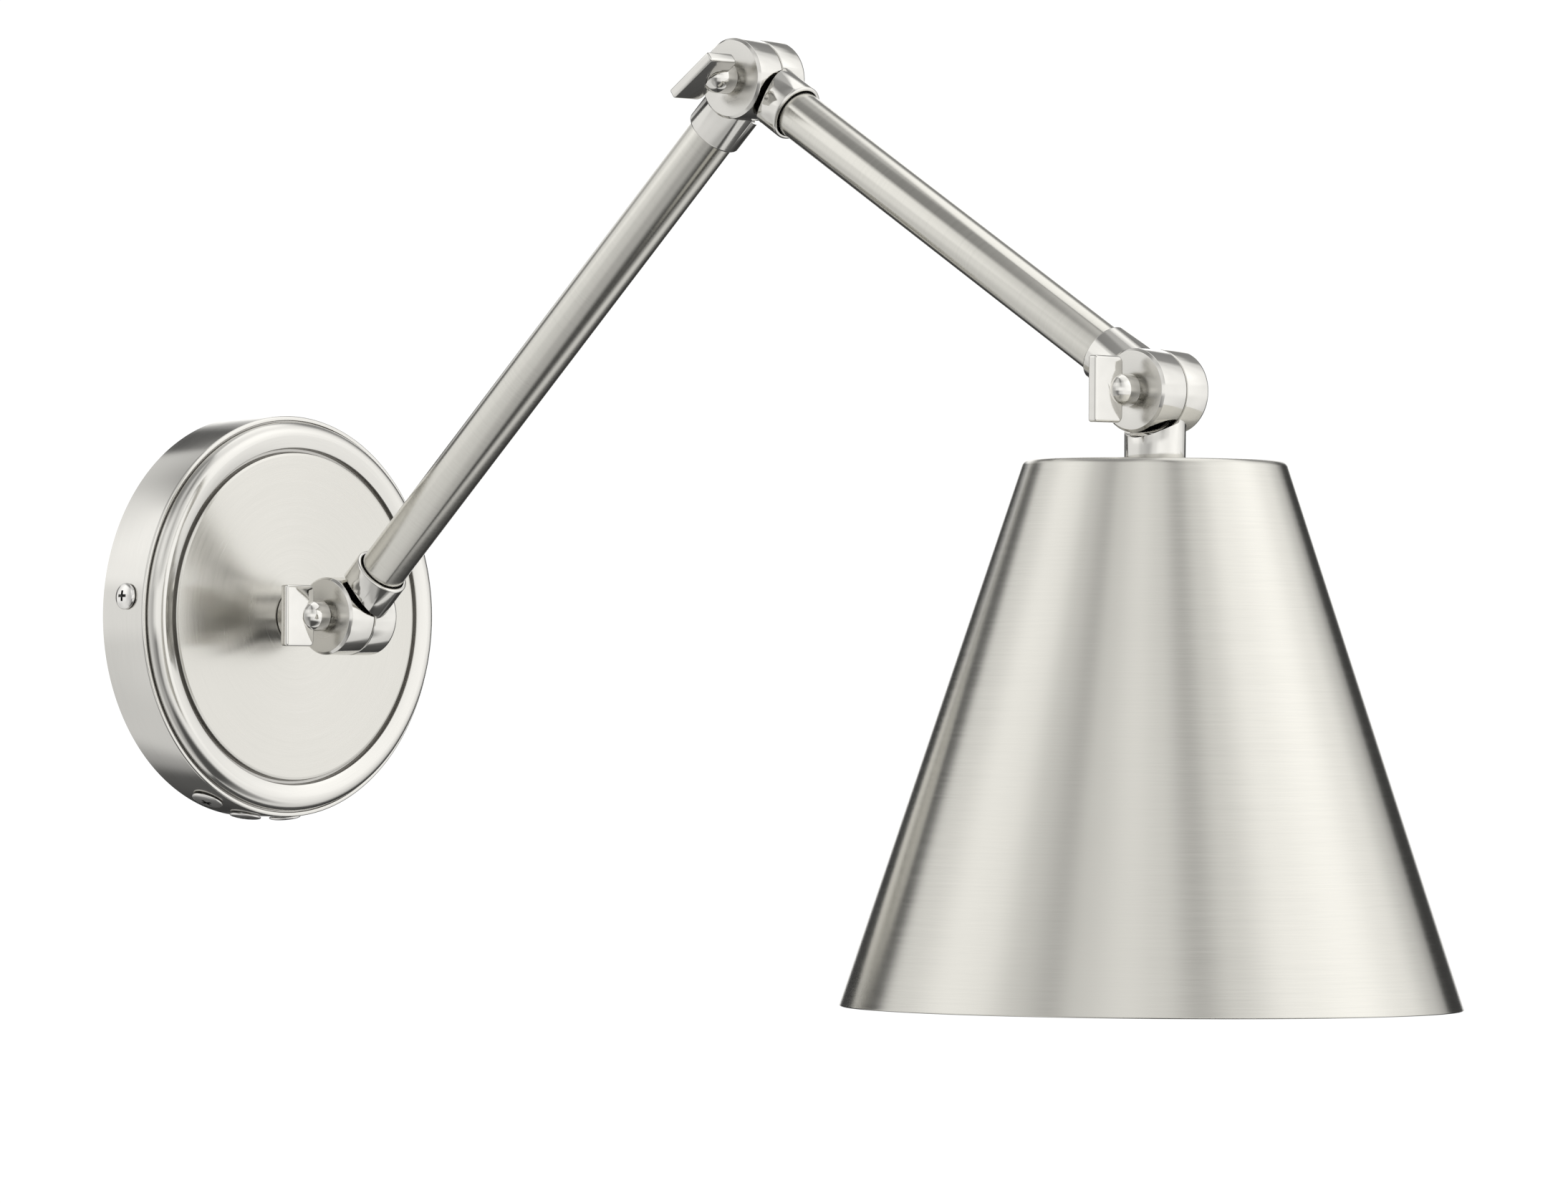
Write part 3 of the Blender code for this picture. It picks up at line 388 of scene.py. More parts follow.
def rounded(corners, closed=False, steps=4):
    """Profile points from (radius, height, fillet) corners; each fillet becomes an arc."""
    points = []
    count = len(corners)
    for i, (x, y, fillet) in enumerate(corners):
        here = Vector((x, y))
        is_end = not closed and i in (0, count - 1)
        if is_end or not fillet:
            points.append((x, y))
            continue
        back = Vector(corners[i - 1][:2]) - here
        ahead = Vector(corners[(i + 1) % count][:2]) - here
        inside = back.angle(ahead)
        if inside > math.radians(178):
            points.append((x, y))
            continue
        reach = min(fillet / math.tan(inside / 2), 0.48 * back.length, 0.48 * ahead.length)
        radius = reach * math.tan(inside / 2)
        middle = (back.normalized() + ahead.normalized()).normalized()
        centre = here + middle * (radius / math.sin(inside / 2))
        start = here + back.normalized() * reach - centre
        end = here + ahead.normalized() * reach - centre
        sweep = start.angle(end)
        for k in range(steps + 1):
            t = k / steps
            point = centre + (start * math.sin((1 - t) * sweep) + end * math.sin(t * sweep)) / math.sin(sweep)
            points.append((point.x, point.y))
    return points


def aim(obj, place, direction, roll=0.0):
    """Put obj's local origin at place with its local Z along direction."""
    obj.location = place
    obj.rotation_mode = "QUATERNION"
    turn = direction.to_track_quat("Z", "Y")
    obj.rotation_quaternion = turn @ Quaternion((0.0, 0.0, 1.0), roll)
    return obj


def link(obj):
    bpy.context.scene.collection.objects.link(obj)
    return obj


def mesh_object(name, bm):
    bmesh.ops.recalc_face_normals(bm, faces=bm.faces)
    mesh = bpy.data.meshes.new(name)
    bm.to_mesh(mesh)
    bm.free()
    return link(bpy.data.objects.new(name, mesh))


def lathe(name, profile, place, direction, segments=SEGMENTS, closed=False, roll=0.0, thread=None):
    """Turn a profile of (radius, height) points about direction.

    A closed profile is a ring's outline. Any other profile starts and ends on the axis.
    thread is a function that moves a radius at a height and angle, for screw threads.
    """
    bm = bmesh.new()
    rings = []
    for radius, height in profile:
        if radius < 1e-7:
            rings.append([bm.verts.new((0.0, 0.0, height))])
            continue
        ring = []
        for i in range(segments):
            angle = math.tau * i / segments
            reach = thread(radius, height, angle) if thread else radius
            ring.append(bm.verts.new((reach * math.cos(angle), reach * math.sin(angle), height)))
        rings.append(ring)
    pairs = list(zip(rings, rings[1:]))
    if closed:
        pairs.append((rings[-1], rings[0]))
    for first, second in pairs:
        for i in range(segments):
            j = (i + 1) % segments
            corners = [
                first[i % len(first)], second[i % len(second)],
                second[j % len(second)], first[j % len(first)],
            ]
            corners = list(dict.fromkeys(corners))
            if len(corners) > 2:
                bm.faces.new(corners)
    return aim(mesh_object(name, bm), place, direction, roll)


def block(name, size, place, bevel=0.0):
    """A box centred on place, with soft edges."""
    bm = bmesh.new()
    bmesh.ops.create_cube(bm, size=1.0)
    bmesh.ops.scale(bm, vec=size, verts=bm.verts)
    if bevel:
        bmesh.ops.bevel(bm, geom=bm.edges[:], offset=bevel, segments=3, profile=0.5, affect="EDGES")
    obj = mesh_object(name, bm)
    obj.location = place
    return obj


def apply_modifiers(obj):
    graph = bpy.context.evaluated_depsgraph_get()
    mesh = bpy.data.meshes.new_from_object(obj.evaluated_get(graph))
    obj.modifiers.clear()
    obj.data = mesh


def combine_shapes(obj, other, operation, solver="EXACT"):
    """Cut or join other into obj, and remove other."""
    modifier = obj.modifiers.new("combine", "BOOLEAN")
    modifier.operation = operation
    modifier.solver = solver
    modifier.object = other
    apply_modifiers(obj)
    bpy.data.objects.remove(other)


def cut(obj, other, solver="EXACT"):
    combine_shapes(obj, other, "DIFFERENCE", solver)


def join(obj, other):
    combine_shapes(obj, other, "UNION")


def tidy_mesh(obj, distance=0.02 * MM):
    """Merge the slivers that a cut leaves, so that a bevel stays even."""
    bm = bmesh.new()
    bm.from_mesh(obj.data)
    bmesh.ops.remove_doubles(bm, verts=bm.verts, dist=distance)
    bmesh.ops.dissolve_degenerate(bm, dist=distance / 4, edges=bm.edges)
    bm.to_mesh(obj.data)
    bm.free()


def soften(obj, width, angle=38.0, segments=2):
    """Round the sharp edges of a cut piece."""
    tidy_mesh(obj)
    bevel = obj.modifiers.new("soft_edges", "BEVEL")
    bevel.width = width
    bevel.segments = segments
    bevel.limit_method = "ANGLE"
    bevel.angle_limit = math.radians(angle)
    bevel.use_clamp_overlap = False
    bevel.miter_outer = "MITER_ARC"
    apply_modifiers(obj)
    tidy_mesh(obj, 0.004 * MM)


def finish(obj, node, body, materials, angle=30.0):
    """Give obj its looks, and let it ride on its body in place of its CAD node."""
    obj.name = f"{node}_fine"
    obj.data.materials.clear()
    for material in materials:
        obj.data.materials.append(material)
    obj.data.shade_smooth()
    obj.data.set_sharp_from_angle(angle=math.radians(angle))
    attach(obj, body)
    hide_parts(node)
    return obj


def drill(name, radius, place, direction, start, end, segments=32):
    """A round cutter along direction, between two distances from place."""
    profile = [(0.0, end), (radius, end), (radius, start), (0.0, start)]
    return lathe(name, profile, place, direction, segments, roll=HOLE_ROLL)


def helix(pitch, depth):
    """Thread function: a rounded V that climbs by one pitch a turn."""
    def cut_in(radius, height, angle):
        phase = (height / pitch - angle / math.tau) % 1.0
        return radius - depth * abs(2 * phase - 1)
    return cut_in


# ---------------------------------------------------------------- canopy and its fasteners

def canopy_direction(angle_from_bottom):
    return Vector((math.sin(angle_from_bottom), 0.0, -math.cos(angle_from_bottom)))


def side_direction(side):
    return Vector((side * math.cos(FASTENER_TURN), 0.0, -side * math.sin(FASTENER_TURN)))


def canopy_outline():
    """Closed outline of the spun shell: outer skin from the centre out, then the inner skin."""
    half_groove = GROOVE_WIDTH / 2
    groove_bottom = CANOPY_FACE_HEIGHT - FINE_GROOVE_DEPTH
    shoulder = CANOPY_FACE_HEIGHT - 0.25 * MM
    bead_inner = GROOVE_RADIUS + half_groove
    bead_radii = (BEAD_OUTER_RADIUS - BEAD_CROWN_RADIUS, BEAD_CROWN_HEIGHT - CANOPY_SIDE_HEIGHT)
    slope = [
        (SHANK_HOLE_RADIUS, CANOPY_FACE_HEIGHT, 0.0),
        (20 * MM, CANOPY_FACE_HEIGHT, 0.0),
        (38 * MM, CANOPY_FACE_HEIGHT, 0.0),
        (GROOVE_RADIUS - half_groove, CANOPY_FACE_HEIGHT, 0.5 * MM),
        (GROOVE_RADIUS - 0.5 * half_groove, shoulder, 0.3 * MM),
        (GROOVE_RADIUS - 0.3 * half_groove, groove_bottom, 0.2 * MM),
        (GROOVE_RADIUS + 0.3 * half_groove, groove_bottom, 0.2 * MM),
        (GROOVE_RADIUS + 0.5 * half_groove, shoulder, 0.3 * MM),
        (bead_inner, CANOPY_FACE_HEIGHT, 0.6 * MM),
        (BEAD_CROWN_RADIUS - 0.2 * MM, BEAD_CROWN_HEIGHT, 0.0),
    ]
    outer = rounded(slope)
    outer += arc((BEAD_CROWN_RADIUS, CANOPY_SIDE_HEIGHT), bead_radii, 90, 6, 14)
    outer += rounded([
        (BEAD_OUTER_RADIUS, CANOPY_SIDE_HEIGHT - CREASE_DEPTH, 0.0),
        (BEAD_OUTER_RADIUS + 0.6 * CREASE_WIDTH, CANOPY_SIDE_HEIGHT - CREASE_DEPTH, 0.0),
        (BEAD_OUTER_RADIUS + CREASE_WIDTH, CANOPY_SIDE_HEIGHT, 0.2 * MM),
        (CANOPY_RADIUS, CANOPY_SIDE_HEIGHT, 0.8 * MM),
        (CANOPY_RADIUS, 0.0, 0.0),
    ])
    inner_radius = CANOPY_RADIUS - CANOPY_WALL
    inner_face = CANOPY_FACE_HEIGHT - CANOPY_WALL
    inner = rounded([
        (inner_radius, 0.0, 0.0),
        (inner_radius, CANOPY_SIDE_HEIGHT - CANOPY_WALL, 0.5 * MM),
        (BEAD_OUTER_RADIUS - CANOPY_WALL, CANOPY_SIDE_HEIGHT - CANOPY_WALL, 0.5 * MM),
        (BEAD_CROWN_RADIUS, BEAD_CROWN_HEIGHT - CANOPY_WALL, 1.5 * MM),
        (GROOVE_RADIUS, groove_bottom - CANOPY_WALL, 0.5 * MM),
        (GROOVE_RADIUS - 2 * half_groove, inner_face, 0.8 * MM),
        (SHANK_HOLE_RADIUS, inner_face, 0.0),
    ])
    return outer + inner


def make_canopy():
    canopy = lathe("canopy_shell", canopy_outline(), Vector(), OUT, FINE_SEGMENTS, closed=True)
    directions = [(side_direction(side), OUT * SIDE_SCREW_HEIGHT) for side in (-1, 1)]
    directions += [(canopy_direction(angle), OUT * RIM_SCREW_HEIGHT) for angle in RIM_SCREW_ANGLES]
    for direction, place in directions:
        cut(canopy, drill("hole", CANOPY_HOLE_RADIUS, place, direction, *CANOPY_HOLE_SPAN))
    finish(canopy, "canopy", "base", [PLATE, PLATE_RIM, GROOVE_PAINTED_SHADE])
    # Groove and crease faces get the darker nickel, which is painted shade; faces outside the groove get the
    # rim finish.
    for face in canopy.data.polygons:
        reach = face.center.xy.length
        in_groove = abs(reach - GROOVE_RADIUS) < 0.26 * GROOVE_WIDTH
        is_bead_foot = BEAD_OUTER_RADIUS - 0.1 * MM < reach < BEAD_OUTER_RADIUS + CREASE_WIDTH
        in_crease = is_bead_foot and face.center.z < CANOPY_SIDE_HEIGHT
        if (in_groove or in_crease) and face.normal.z > -0.5:
            face.material_index = 2
        elif reach > GROOVE_RADIUS:
            face.material_index = 1


def cross_recess(place, direction, size, depth):
    """Tapered cross that a Phillips driver fits."""
    arms = []
    for i in range(2):
        bm = bmesh.new()
        bmesh.ops.create_cube(bm, size=1.0)
        for vert in bm.verts:
            taper = 1.0 if vert.co.z > 0 else 0.35
            long_side, short_side = size * taper, 0.2 * size * (1.0 if vert.co.z > 0 else 0.7)
            width = (long_side, short_side) if i == 0 else (short_side, long_side)
            vert.co = (vert.co.x * width[0], vert.co.y * width[1], vert.co.z * 2 * depth)
        arms.append(aim(mesh_object("recess", bm), place, direction))
    join(arms[0], arms[1])
    return arms[0]


def make_screw(node, place, direction, head, shank, body, material):
    """Round headed screw with a cross recess and a threaded shank."""
    head_radius, dome = head
    shank_radius, length = shank
    rim = 0.4 * MM
    top = rim + dome
    profile = [(0.0, top)] + arc((0.0, rim), (head_radius, dome), 82, 0, 10)
    profile += [(head_radius, 0.12 * MM), (head_radius - 0.15 * MM, 0.0), (shank_radius, 0.0)]
    rows = max(int(length / SCREW_PITCH * 6), 6)
    profile += [(shank_radius, -length * i / rows) for i in range(1, rows)]
    profile += [(0.8 * shank_radius, -length), (0.0, -length)]
    cut_thread = helix(SCREW_PITCH, SCREW_THREAD)

    def thread(radius, height, angle):
        is_shank = height < -0.1 * MM and radius > 0.9 * shank_radius
        return cut_thread(radius, height, angle) if is_shank else radius

    screw = lathe(f"{node}_turned", profile, place, direction, SCREW_SEGMENTS, thread=thread)
    recess_place = place + direction * top
    cut(screw, cross_recess(recess_place, direction, 1.25 * head_radius, 0.9 * dome))
    finish(screw, node, body, [material, RECESS_PAINTED_SHADE])
    # Faces sunk into the cross recess get the near-black metal, which is painted shade.
    for face in screw.data.polygons:
        reach = face.center.xy.length
        dome_height = rim + dome * math.sqrt(max(1 - (reach / head_radius) ** 2, 0.0))
        is_sunk = 0.0 < face.center.z < dome_height - 0.06 * MM
        if is_sunk and reach < 0.75 * head_radius:
            face.material_index = 1


def make_canopy_screws():
    seat = CANOPY_RADIUS + GAP
    for name, side in (("left", -1), ("right", 1)):
        direction = side_direction(side)
        place = OUT * SIDE_SCREW_HEIGHT + direction * seat
        make_screw(f"side_screw_{name}", place, direction, (SIDE_SCREW_HEAD_RADIUS, SIDE_SCREW_DOME),
                   SIDE_SCREW_SHANK, "base", SCREW_METAL)
    for name, angle in zip(("left", "middle", "right"), RIM_SCREW_ANGLES):
        direction = canopy_direction(angle)
        place = OUT * RIM_SCREW_HEIGHT + direction * seat
        make_screw(f"rim_screw_{name}", place, direction, (RIM_SCREW_HEAD_RADIUS, RIM_SCREW_DOME),
                   RIM_SCREW_SHANK, "base", SATIN_SCREW)


def slot_cutter(centre_x):
    straight = BOX_SLOT_LENGTH - BOX_SLOT_WIDTH
    reach = BAR_CUT_REACH
    middle = block("slot", (straight, 2 * reach, BOX_SLOT_WIDTH), Vector((centre_x, 0.0, 0.0)))
    for side in (-1, 1):
        place = Vector((centre_x + side * straight / 2, 0.0, 0.0))
        join(middle, drill("slot_end", BOX_SLOT_WIDTH / 2, place, OUT, -reach, reach))
    return middle


def make_crossbar():
    """Bent strap behind the canopy, with slots for the wall box and tabs for the side screws."""
    bend = BAR_BEND_RADIUS
    inner_x = BAR_HALF_LENGTH - bend
    outline = [(-BAR_HALF_LENGTH, -BAR_TAB_HEIGHT)]
    outline += arc((-inner_x, -bend), (bend, bend), 180, 90, 8)
    outline += arc((inner_x, -bend), (bend, bend), 90, 0, 8)
    outline += [(BAR_HALF_LENGTH, -BAR_TAB_HEIGHT)]
    bm = bmesh.new()
    half = BAR_WIDTH / 2
    rows = [[bm.verts.new((x, y, z)) for x, y in outline] for z in (-half, half)]
    for i in range(len(outline) - 1):
        bm.faces.new((rows[0][i], rows[0][i + 1], rows[1][i + 1], rows[1][i]))
    mesh = bpy.data.meshes.new("crossbar_sheet")
    bm.to_mesh(mesh)
    bm.free()
    bar = link(bpy.data.objects.new("crossbar_sheet", mesh))
    thicken = bar.modifiers.new("sheet", "SOLIDIFY")
    thicken.thickness = BAR_THICKNESS
    thicken.offset = 1.0
    thicken.use_even_offset = True
    apply_modifiers(bar)
    turn = Quaternion((0.0, 1.0, 0.0), FASTENER_TURN)
    for side in (-1, 1):
        cut(bar, slot_cutter(side * BOX_SCREW_SPACING / 2))
        place = OUT * SIDE_SCREW_HEIGHT
        cut(bar, drill("tab_hole", TAB_HOLE_RADIUS, place, FAR * side, *TAB_HOLE_SPAN))
    ground_place = Vector((GROUND_SCREW_X, 0.0, 0.0))
    cut(bar, drill("ground_hole", TAB_HOLE_RADIUS, ground_place, OUT, -BAR_CUT_REACH, BAR_CUT_REACH))
    soften(bar, 0.15 * MM)
    bar.rotation_mode = "QUATERNION"
    bar.rotation_quaternion = turn
    finish(bar, "crossbar", "base", [ZINC])
    seat = turn @ ground_place + OUT * (BAR_THICKNESS + GAP)
    make_screw("ground_screw", seat, OUT, GROUND_SCREW_HEAD, GROUND_SCREW_SHANK,
               "base", GREEN)


def make_nut_and_washer(prefix, seat, direction, body):
    """Washer and chamfered hex nut on a threaded shank."""
    start = GAP
    end = start + WASHER_THICKNESS
    edge = 0.2 * MM
    ring = [(SHANK_HOLE_RADIUS, end, edge), (WASHER_RADIUS, end, edge),
            (WASHER_RADIUS, start, edge), (SHANK_HOLE_RADIUS, start, edge)]
    washer = lathe(f"{prefix}_ring", rounded(ring, closed=True, steps=2), seat, direction, closed=True)
    finish(washer, f"{prefix}_washer", body, [ZINC])
    nut_start = end + GAP
    half = NUT_HEIGHT / 2
    middle = seat + direction * (nut_start + half)
    radius = NUT_CORNER_RADIUS
    bm = bmesh.new()
    bmesh.ops.create_cone(bm, cap_ends=True, segments=6, radius1=radius, radius2=radius, depth=NUT_HEIGHT)
    nut = aim(mesh_object(f"{prefix}_hexagon", bm), middle, direction)
    past = half + 0.2 * MM  # the turned shape that chamfers the corners is longer than the nut
    end_radius = NUT_FLATS_RADIUS - 0.45 * MM
    side_radius = radius + 0.4 * MM
    chamfer = [(0.0, past), (end_radius, past), (side_radius, 0.25 * half),
               (side_radius, -0.25 * half), (end_radius, -past), (0.0, -past)]
    envelope = lathe("chamfer", chamfer, middle, direction, roll=HOLE_ROLL)
    combine_shapes(nut, envelope, "INTERSECT")
    cut(nut, drill("nut_hole", SHANK_HOLE_RADIUS, seat, direction, 0.0, nut_start + 2 * NUT_HEIGHT, 48))
    soften(nut, 0.12 * MM)
    finish(nut, f"{prefix}_nut", body, [BRASS])


# ---------------------------------------------------------------- swivels

def disc_blank(name, hinge, side, near):
    """Solid disc of one swivel half, from the split plane outwards."""
    face = DISC_HALF_WIDTH
    if near:
        corners = [(0.0, face, 0.0), (DISC_RADIUS - NEAR_EDGE_BEVEL, face, 0.25 * MM),
                   (DISC_RADIUS, face - NEAR_EDGE_BEVEL, 0.3 * MM),
                   (DISC_RADIUS, -GAP, 0.0), (0.0, -GAP, 0.0)]
    else:
        corners = [(0.0, face, 0.0), (DISC_RADIUS, face, FAR_EDGE_ROUND),
                   (DISC_RADIUS, -GAP, 0.0), (0.0, -GAP, 0.0)]
    return lathe(name, rounded(corners, steps=8), hinge, side)


def split_cutter(hinge, side, near):
    """Everything hollow on the split side: screw hole, wire chamber, ring seat and saddle."""
    split = GAP / 2
    hole_top = 2 * DISC_HALF_WIDTH if near else KEY_HOLE_DEPTH
    edge = 0.25 * MM
    profile = [(0.0, hole_top), (KEY_HOLE_RADIUS, hole_top), (KEY_HOLE_RADIUS, split)]
    profile += [(CHAMBER_INNER_RADIUS, split), (CHAMBER_INNER_RADIUS, CHAMBER_DEPTH)]
    profile += [(CHAMBER_OUTER_RADIUS, CHAMBER_DEPTH), (CHAMBER_OUTER_RADIUS, RING_SEAT_DEPTH)]
    profile += [(RING_SEAT_RADIUS, RING_SEAT_DEPTH), (RING_SEAT_RADIUS, split)]
    profile += [(DISC_RADIUS - edge, split), (DISC_RADIUS, split + edge), (SADDLE_RADIUS, split + edge)]
    flare_end = split - DISC_HALF_WIDTH
    profile += arc((SADDLE_RADIUS, flare_end), (FINE_FLARE, DISC_HALF_WIDTH), 90, 0, 12)
    profile += [(SADDLE_RADIUS + FINE_FLARE, -SADDLE_CUT_REACH), (0.0, -SADDLE_CUT_REACH)]
    return lathe("split", profile, hinge, side, SEGMENTS)


def cup_blank(hinge, direction, end):
    corners = [(0.0, end, 0.0), (NECK_RADIUS, end, CUP_END_ROUND), (NECK_RADIUS, 0.0, 0.0), (0.0, 0.0, 0.0)]
    return lathe("cup", rounded(corners), hinge, direction, roll=NECK_ROLL)


def shank_blank(hinge, direction, shoulder, length):
    end = shoulder + length
    corners = [(0.0, end, 0.0), (SHANK_RADIUS, end, 0.5 * MM), (SHANK_RADIUS, shoulder, 0.0),
               (NECK_RADIUS, shoulder, 0.25 * MM), (NECK_RADIUS, 0.0, 0.0), (0.0, 0.0, 0.0)]
    return lathe("shank", rounded(corners), hinge, direction, roll=NECK_ROLL)


def cut_tube_seat(half, hinge, direction, end, near):
    bore = TUBE_RADIUS + GAP
    start = TUBE_SEAT_START - GAP
    if near:
        profile = [(0.0, end + MM), (bore, end + MM), (bore, start), (0.0, start)]
    else:
        lip = end - CUP_LIP_DEPTH
        profile = [(0.0, end + MM), (CUP_LIP_RADIUS, end + MM), (CUP_LIP_RADIUS, lip)]
        profile += [(bore, lip - 0.4 * MM), (bore, start), (0.0, start)]
    cut(half, lathe("seat", profile, hinge, direction, roll=NECK_ROLL))


def dress_swivel(half, node, body):
    """Lathe-brushed disc faces, polished everywhere else."""
    soften(half, EDGE_ROUND)
    finish(half, node, body, [POLISHED, FACED])
    for face in half.data.polygons:
        if abs(face.normal.z) > 0.95 and abs(face.center.z) > 0.9 * DISC_HALF_WIDTH:
            face.material_index = 1


def make_cup_half(node, hinge, side, direction, body):
    """Swivel half that carries a tube."""
    near = side.x < 0
    end = NEAR_CUP_END if near else FAR_CUP_END
    half = disc_blank(f"{node}_disc", hinge, side, near)
    join(half, cup_blank(hinge, direction, end))
    cut(half, split_cutter(hinge, side, near))
    cut_tube_seat(half, hinge, direction, end, near)
    dress_swivel(half, node, body)


def make_shank_half(node, hinge, side, direction, shoulder, length, body):
    """Swivel half that ends in a shoulder and a hollow shank."""
    near = side.x < 0
    half = disc_blank(f"{node}_disc", hinge, side, near)
    join(half, shank_blank(hinge, direction, shoulder, length))
    cut(half, split_cutter(hinge, side, near))
    bore_start = shoulder - BORE_INSET
    cut(half, drill("bore", SHANK_BORE_RADIUS, hinge, direction, bore_start, shoulder + length + MM))
    dress_swivel(half, node, body)


def paddle_blank(name, place, turn):
    """Flat plate with rounded corners; the outer end is nearly square."""
    length = KEY_END - (DISC_HALF_WIDTH + KEY_PADDLE_START)
    half_height = KEY_PADDLE_HEIGHT / 2
    half_length = length / 2
    corner = KEY_PADDLE_OUTER_CORNER
    edge = KEY_PADDLE_EDGE
    corners = [(half_length, half_height, corner), (half_length, -half_height, corner),
               (-half_length, -half_height, edge), (-half_length, half_height, edge)]
    bm = bmesh.new()
    half = KEY_PADDLE_THICKNESS / 2
    ring = [bm.verts.new((x, -half, z)) for x, z in rounded(corners, closed=True, steps=6)]
    face = bm.faces.new(ring)
    moved = bmesh.ops.extrude_face_region(bm, geom=[face])["geom"]
    verts = [item for item in moved if isinstance(item, bmesh.types.BMVert)]
    bmesh.ops.translate(bm, vec=(0.0, 2 * half, 0.0), verts=verts)
    rim = [edge for edge in bm.edges if abs(edge.verts[0].co.y - edge.verts[1].co.y) < half]
    bmesh.ops.bevel(bm, geom=rim, offset=edge, segments=5, profile=0.5, affect="EDGES")
    paddle = mesh_object(name, bm)
    paddle.location = place
    paddle.rotation_euler = (turn, 0.0, 0.0)
    return paddle


def make_key(node, hinge, turn, body):
    """Thumb key: a flat paddle on a bullet shaped boss, with a threaded shank."""
    face = DISC_HALF_WIDTH
    boss_start = face + KEY_STANDOFF
    boss_end = boss_start + KEY_BOSS_LENGTH
    shank_end = -(KEY_HOLE_DEPTH - 2 * GAP)
    profile = [(0.0, boss_end + KEY_NOSE_LENGTH)]
    profile += arc((0.0, boss_end), (KEY_BOSS_RADIUS, KEY_NOSE_LENGTH), 86, 0, 18)
    profile += rounded([(KEY_BOSS_RADIUS, boss_end - 0.1 * MM, 0.0), (KEY_BOSS_RADIUS, boss_start, 0.4 * MM),
                        (KEY_SHANK_RADIUS, boss_start, 0.0)])
    rows = 110
    shank_top = boss_start - 0.2 * MM
    profile += [(KEY_SHANK_RADIUS, shank_top + (shank_end - shank_top) * i / rows) for i in range(rows)]
    profile += [(0.8 * KEY_SHANK_RADIUS, shank_end), (0.0, shank_end)]
    cut_thread = helix(KEY_SHANK_PITCH, KEY_SHANK_THREAD)

    def thread(radius, height, angle):
        is_shank = height < shank_top and 0.9 * KEY_SHANK_RADIUS < radius < 1.1 * KEY_SHANK_RADIUS
        return cut_thread(radius, height, angle) if is_shank else radius

    key = lathe(f"{node}_turned", profile, hinge, NEAR, 64, thread=thread)
    middle = (face + KEY_PADDLE_START + KEY_END) / 2
    join(key, paddle_blank("paddle", hinge + NEAR * middle, turn))
    finish(key, node, body, [KEY_METAL])


# ---------------------------------------------------------------- arms

def make_tube(node, hinge, direction, length, body):
    start = TUBE_SEAT_START
    end = length - TUBE_SEAT_START
    inner = TUBE_RADIUS - TUBE_WALL
    edge = 0.25 * MM
    corners = [(inner, end, edge), (TUBE_RADIUS, end, edge), (TUBE_RADIUS, start, edge), (inner, start, edge)]
    tube = lathe(f"{node}_drawn", rounded(corners, closed=True, steps=3), hinge, direction, 128, closed=True)
    finish(tube, node, body, [TUBE])


# ---------------------------------------------------------------- shade and lamp holder

def make_shade():
    top = SHADE_TOP - HEAD_HINGE.z
    bottom = SHADE_BOTTOM - HEAD_HINGE.z
    wall = SHADE_WALL
    slope = math.degrees(math.atan2(SHADE_BOTTOM_RADIUS - SHADE_TOP_RADIUS, top - bottom))
    corner_radius = SHADE_TOP_RADIUS - SHADE_CORNER
    corner = (corner_radius, top - SHADE_CORNER)
    outer = [(SHANK_HOLE_RADIUS, top), (0.6 * corner_radius, top)]
    outer += arc(corner, (SHADE_CORNER, SHADE_CORNER), 90, slope, 14)
    start = outer[-1]
    end = (SHADE_BOTTOM_RADIUS, bottom + 0.3 * MM)
    rows = 24
    for i in range(1, rows + 1):
        share = i / rows
        outer.append((start[0] + (end[0] - start[0]) * share, start[1] + (end[1] - start[1]) * share))
    edge = arc((SHADE_BOTTOM_RADIUS - wall / 2, bottom + wall / 2), (wall / 2, wall / 2), 0, -180, 8)
    inner = [(SHADE_BOTTOM_RADIUS - wall, bottom + 0.6 * MM)]
    inner += arc(corner, (SHADE_CORNER - wall, SHADE_CORNER - wall), slope, 90, 8)
    inner += [(0.6 * corner_radius, top - wall), (SHANK_HOLE_RADIUS, top - wall)]
    shade = lathe("shade_spun", outer + edge + inner, HEAD_HINGE, UP, FINE_SEGMENTS, closed=True)
    finish(shade, "shade", "lamp_head", [BRUSHED])


def make_socket_cap():
    top = SHADE_TOP - HEAD_HINGE.z - SHADE_WALL - GAP
    bottom = top - CAP_HEIGHT
    round_edge = 3.0 * MM
    profile = [(SHANK_HOLE_RADIUS, top)]
    profile += arc((CAP_RADIUS - round_edge, top - round_edge), (round_edge, round_edge), 90, 0, 10)
    bead = CAP_WALL / 2
    profile += arc((CAP_RADIUS - bead, bottom + bead), (bead, bead), 0, -180, 8)
    profile += [(CAP_RADIUS - CAP_WALL, top - round_edge), (CAP_RADIUS - round_edge, top - CAP_WALL)]
    profile += [(SHANK_HOLE_RADIUS, top - CAP_WALL)]
    cap = lathe("cap_spun", profile, HEAD_HINGE, UP, 128, closed=True)
    finish(cap, "socket_cap", "lamp_head", [TUBE])
    return bottom


